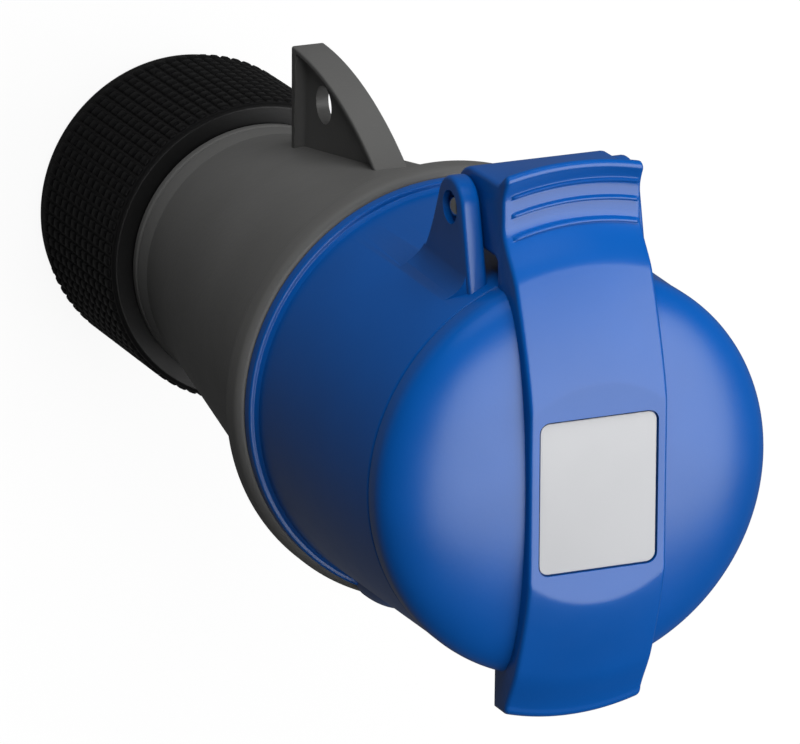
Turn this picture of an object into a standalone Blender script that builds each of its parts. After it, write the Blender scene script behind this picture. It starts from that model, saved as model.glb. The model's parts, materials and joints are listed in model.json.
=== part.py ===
"""Industrial cable coupler, 32 A with five contacts: a connector with a spring lid.

Metres, +Z up. The coupler stands on its gland nut and its axis is vertical, with the lid on
top. The lid's hinge, its thumb lever and the hanging lug are on the +Y side. The origin lies
under the middle of the whole outline, so the coupler's axis is a little behind it at AXIS_Y.
"""

import math

import bmesh
import bpy
from mathutils import Matrix, Vector

# Clearance between neighbouring pieces
GAP = 0.0003

# Lengths along the axis
NUT_LENGTH = 0.0392
HOUSING_LENGTH = 0.0859
SHROUD_LENGTH = 0.0487
LID_DEPTH = 0.0142

# Rear housing
FLANGE_RADIUS = 0.0394
FLANGE_THICKNESS = 0.0054
CONE_FRONT_RADIUS = 0.0350
CONE_REAR_RADIUS = 0.02435
CONE_SETBACK = 0.0064
FLARE_LENGTH = 0.0055
BEAD_RADIUS = 0.0247
NECK_RADIUS = 0.0218
NECK_CLEARANCE = 0.0012
NECK_WALL = 0.0019
HOUSING_WALL = 0.0028
SEAT_LENGTH = 0.0150
SEAT_TAPER = 0.17

# Hanging lug on the rear housing
LUG_THICKNESS = 0.0062
LUG_WEB = 0.0024
LUG_BORDER = 0.0019
LUG_REACH = 0.0458
LUG_REAR_SETBACK = 0.0235
LUG_LENGTH = 0.0365
LUG_CURVE = 0.070
LUG_HOLE_RADIUS = 0.0035
LUG_HOLE_INSET = 0.0105
LUG_HOLE_DROP = 0.0085

# Front housing and its shroud
RING_RADIUS = 0.03804
RING_LENGTH = 0.0022
SHROUD_BASE_RADIUS = 0.0366
SHROUD_RIM_RADIUS = 0.0358
SHROUD_BORE_RADIUS = 0.03275
SHROUD_DEPTH = 0.0384
WEB_THICKNESS = 0.0033
SPIGOT_RADIUS = 0.0330
SPIGOT_LENGTH = 0.0080
SPIGOT_WALL = 0.0026
KEYWAY_HALF_WIDTH = 0.0052
KEYWAY_DEPTH = 0.0030
KEYWAY_WALL = 0.0024
BOSS_ANGLE = 247
BOSS_REACH = 0.0393
BOSS_WIDTH = 0.0080
BOSS_LENGTH = 0.0135

# Hinge
PIN_RADIUS = 0.0020
PIN_REACH = 0.0450
PIN_SETBACK = 0.0106
BARREL_RADIUS = 0.0064
EAR_RADIUS = 0.0066
EAR_THICKNESS = 0.0035
EAR_FOOT_LENGTH = 0.0200
PIN_RECESS_DEPTH = 0.0008
PIN_RECESS_RADIUS = 0.0027

# Lid
LID_RADIUS = 0.0359
LID_CROWN_SETBACK = 0.0011
LID_WALL = 0.0024
LID_RIM_WALL = 0.0017
STRAP_SINK = 0.0008
STRAP_HALF_WIDTH = 0.01266
FACET_RADIUS = 0.01926
STRAP_EDGE_RADIUS = 0.0419
STRAP_EDGE_DROP = 0.0084
TAB_REACH = 0.04275
LEVER_REACH = 0.0549
LEVER_DROP = 0.00995
THUMB_DROP = 0.0118
RIDGE_RADII = (0.0440, 0.0484, 0.0516)
RIDGE_HEIGHT = 0.0006
RIDGE_HALF_LENGTH = 0.0112
LABEL_WIDTH = 0.0213
LABEL_HEIGHT = 0.0265
LABEL_CORNER = 0.0016
LABEL_THICKNESS = 0.0004
LABEL_RECESS = 0.0010
GASKET_WIDTH = 0.0024
GASKET_THICKNESS = 0.0020

# Gland nut and what it squeezes
NUT_RADIUS = 0.0288
NUT_RIBS = 80
NUT_RIB_DEPTH = 0.0005
NUT_FLOOR = 0.0032
CABLE_HOLE_RADIUS = 0.0130
SLIP_RING_THICKNESS = 0.0020
CAGE_RING_THICKNESS = 0.0025
CAGE_FINGERS = 10
CAGE_FINGER_LENGTH = 0.0110
CAGE_FINGER_WALL = 0.0016
CAGE_SLOT_WIDTH = 0.0024
SEAL_LENGTH = 0.0170
SEAL_BORE_RADIUS = 0.0105

# Contact carrier, contacts and terminals
CARRIER_RADIUS = 0.0285
CARRIER_SETBACK = 0.0040
CARRIER_FLANGE_THICKNESS = 0.0032
CARRIER_FRONT_WALL = 0.0022
BACK_PLATE_THICKNESS = 0.0030
PIN_CIRCLE_RADIUS = 0.0180
LINE_PIN_RADIUS = 0.0030
EARTH_PIN_RADIUS = 0.0040
SLEEVE_WALL = 0.0012
SLEEVE_SLOT = 0.0008
COLLAR_THICKNESS = 0.0020
TERMINAL_WIDTH = 0.0098
TERMINAL_LENGTH = 0.0150
WIRE_HOLE_RADIUS = 0.0029
TERMINAL_SCREW_RADIUS = 0.0022
TERMINAL_SCREW_LENGTH = 0.0042
PLATE_SCREW_RADIUS = 0.0015
PLATE_SCREW_CIRCLE = 0.0065
PLATE_SCREW_LENGTH = 0.0120

# Lid spring
SPRING_WIRE_RADIUS = 0.0005
SPRING_COIL_RADIUS = 0.0032
SPRING_TURNS = 5
SPRING_PITCH = 0.0018
SPRING_LEG_DROP = 0.0030
SPRING_LEG_BEND = 0.0020
SPRING_LEG_LENGTH = 0.0040
SPRING_LEG_RISE = 0.0025

# Roundness of turned pieces
LARGE_SIDES = 40
MIDDLE_SIDES = 24
SMALL_SIDES = 16
FINE_SIDES = 12

# Heights worked out from the lengths above
NUT_FRONT = NUT_LENGTH
HOUSING_REAR = NUT_FRONT + GAP
SLIP_RING_FRONT = NUT_FLOOR + GAP + SLIP_RING_THICKNESS
CAGE_FOOT = SLIP_RING_FRONT + GAP
CAGE_RING_FRONT = CAGE_FOOT + CAGE_RING_THICKNESS
NECK_END = CAGE_RING_FRONT + NECK_CLEARANCE
FLANGE_FRONT = HOUSING_REAR + HOUSING_LENGTH
RING_REAR = FLANGE_FRONT + GAP
RIM = RING_REAR + SHROUD_LENGTH
WEB_FRONT = RIM - SHROUD_DEPTH
WEB_REAR = WEB_FRONT - WEB_THICKNESS
LID_REAR = RIM + GAP
FACE = LID_REAR + LID_DEPTH
PIN_Z = RIM - PIN_SETBACK
CARRIER_FRONT = RIM - CARRIER_SETBACK
CARRIER_FLANGE_REAR = WEB_REAR - GAP - CARRIER_FLANGE_THICKNESS
PLATE_FRONT = CARRIER_FLANGE_REAR - GAP
PLATE_REAR = PLATE_FRONT - BACK_PLATE_THICKNESS
AXIS_Y = (TAB_REACH - LEVER_REACH) / 2

COLOURS = {
    "blue plastic": ((0.004, 0.065, 0.36), 0.38, 0.0),
    "grey plastic": ((0.075, 0.078, 0.080), 0.50, 0.0),
    "black plastic": ((0.010, 0.010, 0.011), 0.55, 0.0),
    "label film": ((0.60, 0.61, 0.63), 0.45, 0.0),
    "rubber": ((0.018, 0.018, 0.018), 0.75, 0.0),
    "carrier plastic": ((0.045, 0.048, 0.052), 0.50, 0.0),
    "brass": ((0.72, 0.52, 0.22), 0.30, 1.0),
    "steel": ((0.58, 0.58, 0.57), 0.32, 1.0),
}


def material(finish):
    """The Principled material of one finish, made once."""
    found = bpy.data.materials.get(finish)
    if found:
        return found
    colour, roughness, metallic = COLOURS[finish]
    made = bpy.data.materials.new(finish)
    made.use_nodes = True
    shader = made.node_tree.nodes["Principled BSDF"]
    shader.inputs["Base Color"].default_value = (*colour, 1.0)
    shader.inputs["Roughness"].default_value = roughness
    shader.inputs["Metallic"].default_value = metallic
    made.diffuse_color = (*colour, 1.0)
    return made


def clear_scene():
    """Removes every object, and makes the two collections and the empty on the axis."""
    for obj in list(bpy.data.objects):
        bpy.data.objects.remove(obj, do_unlink=True)
    scene = bpy.context.scene
    parts = bpy.data.collections.new("cable_coupler")
    cutters = bpy.data.collections.new("cutters")
    scene.collection.children.link(parts)
    scene.collection.children.link(cutters)
    cutters.hide_render = True
    axis = bpy.data.objects.new("coupler_axis", None)
    axis.location = (0, AXIS_Y, 0)
    parts.objects.link(axis)
    hinge = bpy.data.objects.new("lid_hinge_axis", None)
    hinge.location = (0, PIN_REACH, PIN_Z)
    hinge.parent = axis
    parts.objects.link(hinge)
    return parts, cutters, axis, hinge


PARTS, CUTTERS, AXIS, HINGE = clear_scene()


def place(obj, finish=None, location=(0, 0, 0), rotation=(0, 0, 0)):
    """Files the object as a part with this finish or, without one, as a cutter.

    It hangs on the empty on the coupler's axis, about which the gland nut turns.
    """
    if finish:
        PARTS.objects.link(obj)
        obj.data.materials.append(material(finish))
    else:
        CUTTERS.objects.link(obj)
        obj.hide_render = True
        obj.display_type = "WIRE"
    obj.parent = AXIS
    obj.location = location
    obj.rotation_euler = rotation
    return obj


def object_from(name, mesh_maker, finish=None, location=(0, 0, 0), rotation=(0, 0, 0)):
    """An object whose mesh is filled by mesh_maker(bm)."""
    mesh = bpy.data.meshes.new(name)
    bm = bmesh.new()
    mesh_maker(bm)
    bm.to_mesh(mesh)
    bm.free()
    return place(bpy.data.objects.new(name, mesh), finish, location, rotation)


def hang_on_hinge(obj):
    """Moves the object from the coupler's axis to the lid's hinge, where it stays in place."""
    obj.parent = HINGE
    obj.location -= HINGE.location
    return obj


def turned(name, profile, finish=None, sides=LARGE_SIDES, closed=True, **where):
    """A turned shape. The profile is (radius, height) down the outer side, then up the inner."""

    def draw(bm):
        points = [bm.verts.new((radius, 0, height)) for radius, height in profile]
        for first, second in zip(points, points[1:]):
            bm.edges.new((first, second))
        if closed:
            bm.edges.new((points[-1], points[0]))

    obj = object_from(name, draw, finish, **where)
    screw = obj.modifiers.new("turn", "SCREW")
    screw.axis = "Z"
    screw.steps = sides
    screw.render_steps = sides
    screw.use_merge_vertices = True
    screw.merge_threshold = 1e-6
    screw.use_smooth_shade = True
    return obj


def prism(name, outline, depth, finish=None, along="Z", start=0.0, **where):
    """The closed outline, extruded from start over depth. Along X the outline is (y, z)."""

    def draw(bm):
        if along == "Z":
            corners = [bm.verts.new((a, b, start)) for a, b in outline]
            step = Vector((0, 0, depth))
        else:
            corners = [bm.verts.new((start, a, b)) for a, b in outline]
            step = Vector((depth, 0, 0))
        face = bm.faces.new(corners)
        made = bmesh.ops.extrude_face_region(bm, geom=[face])
        moved = [item for item in made["geom"] if isinstance(item, bmesh.types.BMVert)]
        bmesh.ops.translate(bm, vec=step, verts=moved)
        bmesh.ops.recalc_face_normals(bm, faces=bm.faces)

    return object_from(name, draw, finish, **where)


def block(name, low, high, finish=None, **where):
    """A box between two corners."""

    def draw(bm):
        size = [b - a for a, b in zip(low, high)]
        middle = [(a + b) / 2 for a, b in zip(low, high)]
        shape = Matrix.Translation(middle) @ Matrix.Diagonal((*size, 1))
        bmesh.ops.create_cube(bm, size=1, matrix=shape)

    return object_from(name, draw, finish, **where)


def rod(name, radius, start, end, finish=None, sides=SMALL_SIDES, tip=None, **where):
    """A cylinder between two points, or a cone if tip gives its far radius."""

    def draw(bm):
        run = Vector(end) - Vector(start)
        turn = Vector((0, 0, 1)).rotation_difference(run).to_matrix().to_4x4()
        shape = Matrix.Translation((Vector(start) + Vector(end)) / 2) @ turn
        bmesh.ops.create_cone(
            bm,
            cap_ends=True,
            segments=sides,
            radius1=radius,
            radius2=radius if tip is None else tip,
            depth=run.length,
            matrix=shape,
        )

    return object_from(name, draw, finish, **where)


def combine(obj, other, operation):
    """Adds a live Boolean of the object with the other."""
    boolean = obj.modifiers.new(f"{operation.lower()} {other.name}", "BOOLEAN")
    boolean.operation = operation
    boolean.object = other
    boolean.solver = "EXACT"
    return obj


def cut(obj, *cutters):
    for cutter in cutters:
        combine(obj, cutter, "DIFFERENCE")
    return obj


def join(obj, *others):
    for other in others:
        combine(obj, other, "UNION")
    return obj


def arc(centre, radius, start, end, steps):
    """Points round a centre from one angle to another, in degrees."""
    angles = [math.radians(start + (end - start) * i / steps) for i in range(steps + 1)]
    return [(centre[0] + radius * math.cos(a), centre[1] + radius * math.sin(a)) for a in angles]


def rounded_rectangle(width, height, corner, steps=4):
    """The outline of a rectangle with round corners, centred on the origin."""
    across = width / 2 - corner
    along = height / 2 - corner
    centres = [(across, along), (-across, along), (-across, -along), (across, -along)]
    return [
        point
        for quarter, centre in enumerate(centres)
        for point in arc(centre, corner, 90 * quarter, 90 * quarter + 90, steps)
    ]


def tangent_angle(point, centre, radius, side):
    """The angle round the circle, in degrees, where the line from the point touches it."""
    away = math.atan2(point[1] - centre[1], point[0] - centre[0])
    reach = math.dist(point, centre)
    return math.degrees(away + side * math.acos(radius / reach))


def on_circle(radius, angle, height=0.0):
    """The point at this radius and clock angle, in degrees, round the coupler's axis."""
    turn = math.radians(angle)
    return Vector((radius * math.cos(turn), radius * math.sin(turn), height))


def cone_radius(height):
    """The outer radius of the rear housing's cone at this height."""
    rear = HOUSING_REAR + CONE_SETBACK
    front = FLANGE_FRONT - FLANGE_THICKNESS - FLARE_LENGTH
    share = (height - rear) / (front - rear)
    return CONE_REAR_RADIUS + share * (CONE_FRONT_RADIUS - CONE_REAR_RADIUS)


def seat_radius(height):
    """The radius of the tapered seat in the neck, which closes the clamp cage's fingers."""
    return NECK_RADIUS - NECK_WALL - SEAT_TAPER * (height - NECK_END)


def housing_profile():
    """The rear housing's section: flange, flare, cone, bead and threaded neck, then the bore."""
    edge = 0.0015
    flange_rear = FLANGE_FRONT - FLANGE_THICKNESS
    flare_foot = flange_rear - FLARE_LENGTH
    mouth = SPIGOT_RADIUS + GAP
    mouth_floor = RING_REAR - SPIGOT_LENGTH - GAP
    front_edge = arc((FLANGE_RADIUS - edge, FLANGE_FRONT - edge), edge, 90, 0, 2)
    flare = [
        (cone_radius(flare_foot) + (FLANGE_RADIUS - 0.0022 - cone_radius(flare_foot)) * s**2.2,
         flare_foot + (flange_rear - flare_foot) * s)
        for s in (1, 0.7, 0.4, 0)
    ]
    shoulder_rear = HOUSING_REAR + 0.0029
    shoulder = arc((CONE_REAR_RADIUS - 0.0026, shoulder_rear), 0.0030, 40, 0, 1)
    bead = arc((BEAD_RADIUS - 0.0010, HOUSING_REAR + 0.0010), 0.0010, 45, -90, 2)
    throat_start = NECK_END + SEAT_LENGTH
    throat = seat_radius(throat_start)
    inner_rear = HOUSING_REAR + CONE_SETBACK + 0.002
    return [
        (mouth, FLANGE_FRONT),
        *front_edge,
        (FLANGE_RADIUS, flange_rear),
        *flare,
        (CONE_REAR_RADIUS, HOUSING_REAR + CONE_SETBACK),
        *shoulder,
        (BEAD_RADIUS - 0.0006, shoulder_rear - 0.0004),
        *bead,
        (NECK_RADIUS, HOUSING_REAR),
        (NECK_RADIUS, NECK_END + 0.0008),
        (NECK_RADIUS - 0.0008, NECK_END),
        (seat_radius(NECK_END), NECK_END),
        (throat, throat_start),
        (throat, inner_rear),
        (cone_radius(inner_rear + 0.004) - HOUSING_WALL, inner_rear + 0.004),
        (cone_radius(mouth_floor - 0.002) - HOUSING_WALL, mouth_floor - 0.002),
        (cone_radius(mouth_floor - 0.002) - HOUSING_WALL, mouth_floor),
        (mouth, mouth_floor),
    ]


def lug_arc(inset, steps=10):
    """The lug's curved front edge as (y, z), moved in by inset, from its top to its foot."""
    rear = HOUSING_REAR + LUG_REAR_SETBACK
    top = Vector((LUG_REACH, rear))
    foot = Vector((cone_radius(rear + LUG_LENGTH) - GAP, rear + LUG_LENGTH))
    chord = foot - top
    middle = (top + foot) / 2
    sideways = Vector((-chord.y, chord.x)).normalized()
    if sideways.x > 0:
        sideways = -sideways
    centre = middle + sideways * math.sqrt(LUG_CURVE**2 - (chord.length / 2) ** 2)
    start = math.degrees(math.atan2(top.y - centre.y, top.x - centre.x))
    end = math.degrees(math.atan2(foot.y - centre.y, foot.x - centre.x))
    return arc(centre, LUG_CURVE - inset, start, end, steps)


def lug_pieces():
    """The hanging lug as a plate, with the cutters of its two recesses and its hole."""
    rear = HOUSING_REAR + LUG_REAR_SETBACK
    front = rear + LUG_LENGTH
    root = HOUSING_WALL / 2
    outline = [
        *lug_arc(0),
        (cone_radius(front) - root, front),
        (cone_radius(rear) - root, rear),
    ]
    plate = prism("lug_plate", outline, LUG_THICKNESS, along="X", start=-LUG_THICKNESS / 2)
    inner_rear = rear + LUG_BORDER
    curve = [
        (y, z)
        for y, z in lug_arc(LUG_BORDER, 16)
        if z > inner_rear + 0.001 and y > cone_radius(z) + 0.0012
    ]
    last_z = curve[-1][1]
    pocket = [
        (curve[0][0], inner_rear),
        *curve,
        (cone_radius(last_z) + 0.0004, last_z),
        (cone_radius(inner_rear) + 0.0004, inner_rear),
    ]
    depth = (LUG_THICKNESS - LUG_WEB) / 2
    recesses = [
        prism("lug_recess_left", pocket, 2 * depth, along="X", start=-LUG_WEB / 2 - 2 * depth),
        prism("lug_recess_right", pocket, 2 * depth, along="X", start=LUG_WEB / 2),
    ]
    hole_y = LUG_REACH - LUG_HOLE_DROP
    hole_z = rear + LUG_HOLE_INSET
    hole = rod(
        "lug_hole",
        LUG_HOLE_RADIUS,
        (-LUG_THICKNESS, hole_y, hole_z),
        (LUG_THICKNESS, hole_y, hole_z),
    )
    return plate, [*recesses, hole]


def make_rear_housing():
    """The grey rear housing with its hanging lug."""
    housing = turned("rear_housing", housing_profile(), "grey plastic")
    plate, cutters = lug_pieces()
    join(housing, plate)
    return cut(housing, *cutters)


def shroud_radius(height):
    """The outer radius of the front housing's shroud at this height."""
    share = (height - RING_REAR) / (RIM - RING_REAR)
    return SHROUD_BASE_RADIUS + share * (SHROUD_RIM_RADIUS - SHROUD_BASE_RADIUS)


def front_profile():
    """The front housing's section: shroud, ring and spigot outside, then spigot and bore."""
    ring_front = RING_REAR + RING_LENGTH
    lip = 0.0008
    pocket = SPIGOT_RADIUS - SPIGOT_WALL
    spigot_end = RING_REAR - SPIGOT_LENGTH
    rim_edge = 0.0006
    ring_edge = 0.0010
    lip_top = PLATE_REAR - GAP
    lip_end = lip_top - 0.0012
    return [
        (SHROUD_BORE_RADIUS, RIM),
        (SHROUD_RIM_RADIUS - rim_edge, RIM),
        (SHROUD_RIM_RADIUS, RIM - rim_edge),
        (shroud_radius(ring_front), ring_front + 0.0008),
        (shroud_radius(ring_front) + 0.0006, ring_front),
        *arc((RING_RADIUS - ring_edge, ring_front - ring_edge), ring_edge, 80, 0, 2),
        (RING_RADIUS, RING_REAR),
        (SPIGOT_RADIUS, RING_REAR),
        (SPIGOT_RADIUS, spigot_end + 0.0006),
        (SPIGOT_RADIUS - 0.0006, spigot_end),
        (pocket, spigot_end),
        (pocket, lip_end - lip),
        (pocket - lip, lip_end),
        (pocket - lip, lip_top),
        (pocket, lip_top),
        (pocket, WEB_REAR),
        (CARRIER_RADIUS + GAP, WEB_REAR),
        (CARRIER_RADIUS + GAP, WEB_FRONT),
        (SHROUD_BORE_RADIUS, WEB_FRONT),
    ]


def ear_outline():
    """The hinge ear from the side as (y, z): round at the pin, with straight flanks to its foot."""
    foot_y = shroud_radius(PIN_Z) - 0.0052
    front_foot = (foot_y, RIM - 0.0020)
    rear_foot = (foot_y, RIM - 0.0020 - EAR_FOOT_LENGTH)
    pin = (PIN_REACH, PIN_Z)
    first = tangent_angle(front_foot, pin, EAR_RADIUS, -1)
    last = tangent_angle(rear_foot, pin, EAR_RADIUS, 1)
    return [front_foot, *arc(pin, EAR_RADIUS, first, last, 10), rear_foot]


def locking_boss():
    """The rounded boss on the shroud beside its ring, over the joint's latch."""
    start = RING_REAR + RING_LENGTH
    foot = SHROUD_BORE_RADIUS + 0.0012
    drop = BOSS_REACH - shroud_radius(start)
    outline = [
        (foot, start),
        *[
            (BOSS_REACH - drop * (1 - math.cos(math.radians(a))), start + BOSS_LENGTH * math.sin(math.radians(a)))
            for a in (0, 25, 50, 70)
        ],
        (foot, start + BOSS_LENGTH),
    ]
    return prism(
        "locking_boss",
        outline,
        BOSS_WIDTH,
        along="X",
        start=-BOSS_WIDTH / 2,
        rotation=(0, 0, math.radians(BOSS_ANGLE - 90)),
    )


def make_front_housing():
    """The blue front housing: shroud with key-way, hinge ears, web and spigot."""
    housing = turned("front_housing", front_profile(), "blue plastic")
    keyway_reach = SHROUD_BORE_RADIUS + KEYWAY_DEPTH
    bulge_reach = keyway_reach + KEYWAY_WALL
    bulge_half = KEYWAY_HALF_WIDTH + KEYWAY_WALL
    inner = SHROUD_BORE_RADIUS + 0.0008
    bulge = prism(
        "keyway_bulge",
        [
            (-bulge_half - 0.0016, -inner),
            (-bulge_half + 0.0008, -bulge_reach + 0.0006),
            (0, -bulge_reach),
            (bulge_half - 0.0008, -bulge_reach + 0.0006),
            (bulge_half + 0.0016, -inner),
        ],
        RIM - RING_REAR - RING_LENGTH,
        start=RING_REAR + RING_LENGTH,
    )
    keyway = block(
        "keyway",
        (-KEYWAY_HALF_WIDTH, -keyway_reach, WEB_FRONT + GAP),
        (KEYWAY_HALF_WIDTH, 0, RIM + 0.001),
    )
    ear_inner = STRAP_HALF_WIDTH + GAP
    ears = []
    for side, name in ((-1, "left"), (1, "right")):
        near = side * ear_inner
        far = side * (ear_inner + EAR_THICKNESS)
        ears.append(
            prism(f"hinge_ear_{name}", ear_outline(), EAR_THICKNESS, along="X", start=min(near, far))
        )
    join(housing, bulge, *ears, locking_boss())
    ear_outer = ear_inner + EAR_THICKNESS
    pin_hole = rod(
        "pin_hole",
        PIN_RADIUS + GAP,
        (-ear_outer - 0.001, PIN_REACH, PIN_Z),
        (ear_outer + 0.001, PIN_REACH, PIN_Z),
        sides=SMALL_SIDES,
    )
    recesses = [
        rod(
            f"pin_recess_{name}",
            PIN_RECESS_RADIUS,
            (side * (ear_outer - PIN_RECESS_DEPTH), PIN_REACH, PIN_Z),
            (side * (ear_outer + 0.001), PIN_REACH, PIN_Z),
        )
        for side, name in ((-1, "left"), (1, "right"))
    ]
    return cut(housing, keyway, pin_hole, *recesses)


DOME_BASE = LID_REAR + 0.0024
DOME_RISE = FACE - LID_CROWN_SETBACK - DOME_BASE


def lid_profile():
    """The lid's domed shell, with the step that holds its gasket."""
    rim_bore = LID_RADIUS - LID_RIM_WALL
    step = LID_REAR + GASKET_THICKNESS + GAP
    inner_reach = rim_bore - GASKET_WIDTH - 2 * GAP
    inner_rise = DOME_BASE + DOME_RISE - LID_WALL - LID_CROWN_SETBACK - step
    outer = [
        (LID_RADIUS * math.sin(math.radians(a)), DOME_BASE + DOME_RISE * math.cos(math.radians(a)))
        for a in (0, 12, 24, 36, 47, 58, 68, 77, 84, 90)
    ]
    inner = [
        (inner_reach * math.sin(math.radians(a)), step + inner_rise * math.cos(math.radians(a)))
        for a in (90, 70, 48, 25, 0)
    ]
    return [*outer, (LID_RADIUS, LID_REAR), (rim_bore, LID_REAR), (rim_bore, step), *inner]


def strap_line():
    """The strap's front line as (radius, height): flat facet, then a bow down to the dome's rim."""
    run = STRAP_EDGE_RADIUS - FACET_RADIUS
    bow = [
        (FACET_RADIUS + run * s, FACE - STRAP_EDGE_DROP * s**1.12)
        for s in (0, 0.12, 0.25, 0.4, 0.55, 0.7, 0.85, 1)
    ]
    return [(0, FACE), *bow]


def under_strap():
    """The strap's rear line, which runs inside the dome's shell from its rim up to the axis."""
    dome = [
        ((LID_RADIUS - STRAP_SINK) * math.sin(math.radians(a)),
         DOME_BASE + (DOME_RISE - STRAP_SINK) * math.cos(math.radians(a)))
        for a in (90, 72, 54, 36, 18, 0)
    ]
    foot = [(LID_RADIUS + GAP, LID_REAR), (LID_RADIUS - STRAP_SINK, LID_REAR + STRAP_SINK)]
    return [*foot, *dome]


def tab_line():
    """The closing tab's tip under the strap's lower end."""
    return [
        (TAB_REACH - 0.0004, FACE - STRAP_EDGE_DROP - 0.0008),
        (TAB_REACH, FACE - STRAP_EDGE_DROP - 0.0018),
        (TAB_REACH, LID_REAR),
    ]


def thumb_line():
    """The thumb lever's front line: a dip behind the strap, a flat rest and a flared top edge."""
    dip_start = STRAP_EDGE_RADIUS
    rest_start = dip_start + 0.0041
    rest_end = LEVER_REACH - 0.0046
    fall = THUMB_DROP - STRAP_EDGE_DROP
    dip = [
        (dip_start + (rest_start - dip_start) * s,
         FACE - STRAP_EDGE_DROP - fall * (1 - math.cos(math.pi * s)) / 2)
        for s in (0.2, 0.4, 0.6, 0.8, 1)
    ]
    flare = [
        (rest_end + (LEVER_REACH - rest_end) * s, FACE - THUMB_DROP + (THUMB_DROP - LEVER_DROP) * s**1.6)
        for s in (0, 0.35, 0.7, 1)
    ]
    back = [
        (LEVER_REACH - 0.0004, FACE - LEVER_DROP - 0.0007),
        (deck_radius(), LID_REAR),
    ]
    return [*dip, *flare, *back]


def deck_radius():
    """The radius of the deck's front, which just clears the ends of the hinge barrel."""
    return math.hypot(PIN_REACH + BARREL_RADIUS, STRAP_HALF_WIDTH)


def lever_deck_outline():
    """The lever's deck and hinge barrel from the side as (y, z)."""
    pin = (PIN_REACH, PIN_Z)
    front = LID_REAR + 0.0010
    top_front = (deck_radius(), front)
    low_front = (PIN_REACH - BARREL_RADIUS, front)
    start = tangent_angle(top_front, pin, BARREL_RADIUS, -1)
    return [low_front, top_front, *arc(pin, BARREL_RADIUS, start, -180, 12)]


def make_lid():
    """The lid: a domed shell, and across it the strap that ends in a thumb lever and a tab."""
    lid = turned("lid", lid_profile(), "blue plastic", closed=False)
    half = STRAP_HALF_WIDTH
    far = 0.07
    strap_low = turned(
        "strap_low",
        [*strap_line(), *tab_line(), *under_strap()],
        closed=False,
    )
    strap_high = turned(
        "strap_high",
        [*strap_line(), *thumb_line(), *under_strap()],
        closed=False,
    )
    low_slab = block("slab_low", (-half, -far, 0), (half, FACET_RADIUS / 5, 2 * FACE))
    high_slab = block("slab_high", (-half, -FACET_RADIUS / 5, 0), (half, far, 2 * FACE))
    combine(strap_low, low_slab, "INTERSECT")
    combine(strap_high, high_slab, "INTERSECT")
    deck = prism("lever_deck", lever_deck_outline(), 2 * half, along="X", start=-half)
    deck_round = rod("deck_round", deck_radius(), (0, 0, 0), (0, 0, FACE), sides=LARGE_SIDES)
    combine(deck, deck_round, "INTERSECT")
    join(lid, strap_low, strap_high, deck)
    inner = half - LID_WALL
    lever_hollow = block(
        "lever_hollow",
        (-inner, PIN_REACH - BARREL_RADIUS - 0.001, PIN_Z + BARREL_RADIUS / 2),
        (inner, PIN_REACH + PIN_RADIUS, FACE - THUMB_DROP - LID_WALL),
    )
    spring_half = SPRING_TURNS * SPRING_PITCH / 2 + 0.0016
    spring_room = BARREL_RADIUS - 0.0013
    spring_pocket = rod(
        "spring_pocket",
        spring_room,
        (-spring_half, PIN_REACH, PIN_Z),
        (spring_half, PIN_REACH, PIN_Z),
    )
    spring_door = block(
        "spring_door",
        (-spring_half, PIN_REACH - BARREL_RADIUS - 0.001, PIN_Z - spring_room),
        (spring_half, PIN_REACH - PIN_RADIUS / 3, PIN_Z + BARREL_RADIUS),
    )
    pin_bore = rod(
        "barrel_bore",
        PIN_RADIUS + GAP,
        (-half - 0.001, PIN_REACH, PIN_Z),
        (half + 0.001, PIN_REACH, PIN_Z),
    )
    label_recess = prism(
        "label_recess",
        rounded_rectangle(LABEL_WIDTH + 2 * GAP, LABEL_HEIGHT + 2 * GAP, LABEL_CORNER + GAP),
        LABEL_RECESS + 0.001,
        start=FACE - LABEL_RECESS,
    )
    cut(lid, lever_hollow, spring_pocket, spring_door, pin_bore, label_recess)
    for number, radius in enumerate(RIDGE_RADII, 1):
        join(lid, thumb_ridge(number, radius))
    return hang_on_hinge(lid)


def thumb_height(radius):
    """The height of the thumb lever's front line at this radius."""
    line = [*strap_line()[-2:], *thumb_line()[:-3]]
    for (r0, z0), (r1, z1) in zip(line, line[1:]):
        if r0 <= radius <= r1:
            return z0 + (z1 - z0) * (radius - r0) / (r1 - r0)
    return FACE - THUMB_DROP


def thumb_ridge(number, radius):
    """One raised grip ridge, an arc round the coupler's axis."""
    foot = thumb_height(radius)
    ridge = turned(
        f"thumb_ridge_{number}",
        [
            (radius - 0.0002, foot + RIDGE_HEIGHT),
            (radius + 0.0002, foot + RIDGE_HEIGHT),
            (radius + 0.0006, foot - 0.0006),
            (radius - 0.0006, foot - 0.0006),
        ],
        rotation=(0, 0, math.pi / LARGE_SIDES),
    )
    slab = block(
        f"ridge_slab_{number}",
        (-RIDGE_HALF_LENGTH, 0, 0.1),
        (RIDGE_HALF_LENGTH, 0.07, 0.2),
    )
    return combine(ridge, slab, "INTERSECT")


def make_label():
    """The bare label plate in the strap's recess."""
    outline = rounded_rectangle(LABEL_WIDTH, LABEL_HEIGHT, LABEL_CORNER)
    floor = FACE - LABEL_RECESS + GAP
    label = prism("label_plate", outline, LABEL_THICKNESS, "label film", start=floor)
    return hang_on_hinge(label)


def make_gasket():
    """The rubber ring in the lid that meets the shroud's rim."""
    outer = LID_RADIUS - LID_RIM_WALL - GAP
    inner = outer - GASKET_WIDTH
    top = LID_REAR + GASKET_THICKNESS
    gasket = turned(
        "lid_gasket",
        [(outer, top), (outer, LID_REAR), (inner, LID_REAR), (inner, top)],
        "rubber",
    )
    return hang_on_hinge(gasket)


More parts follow.
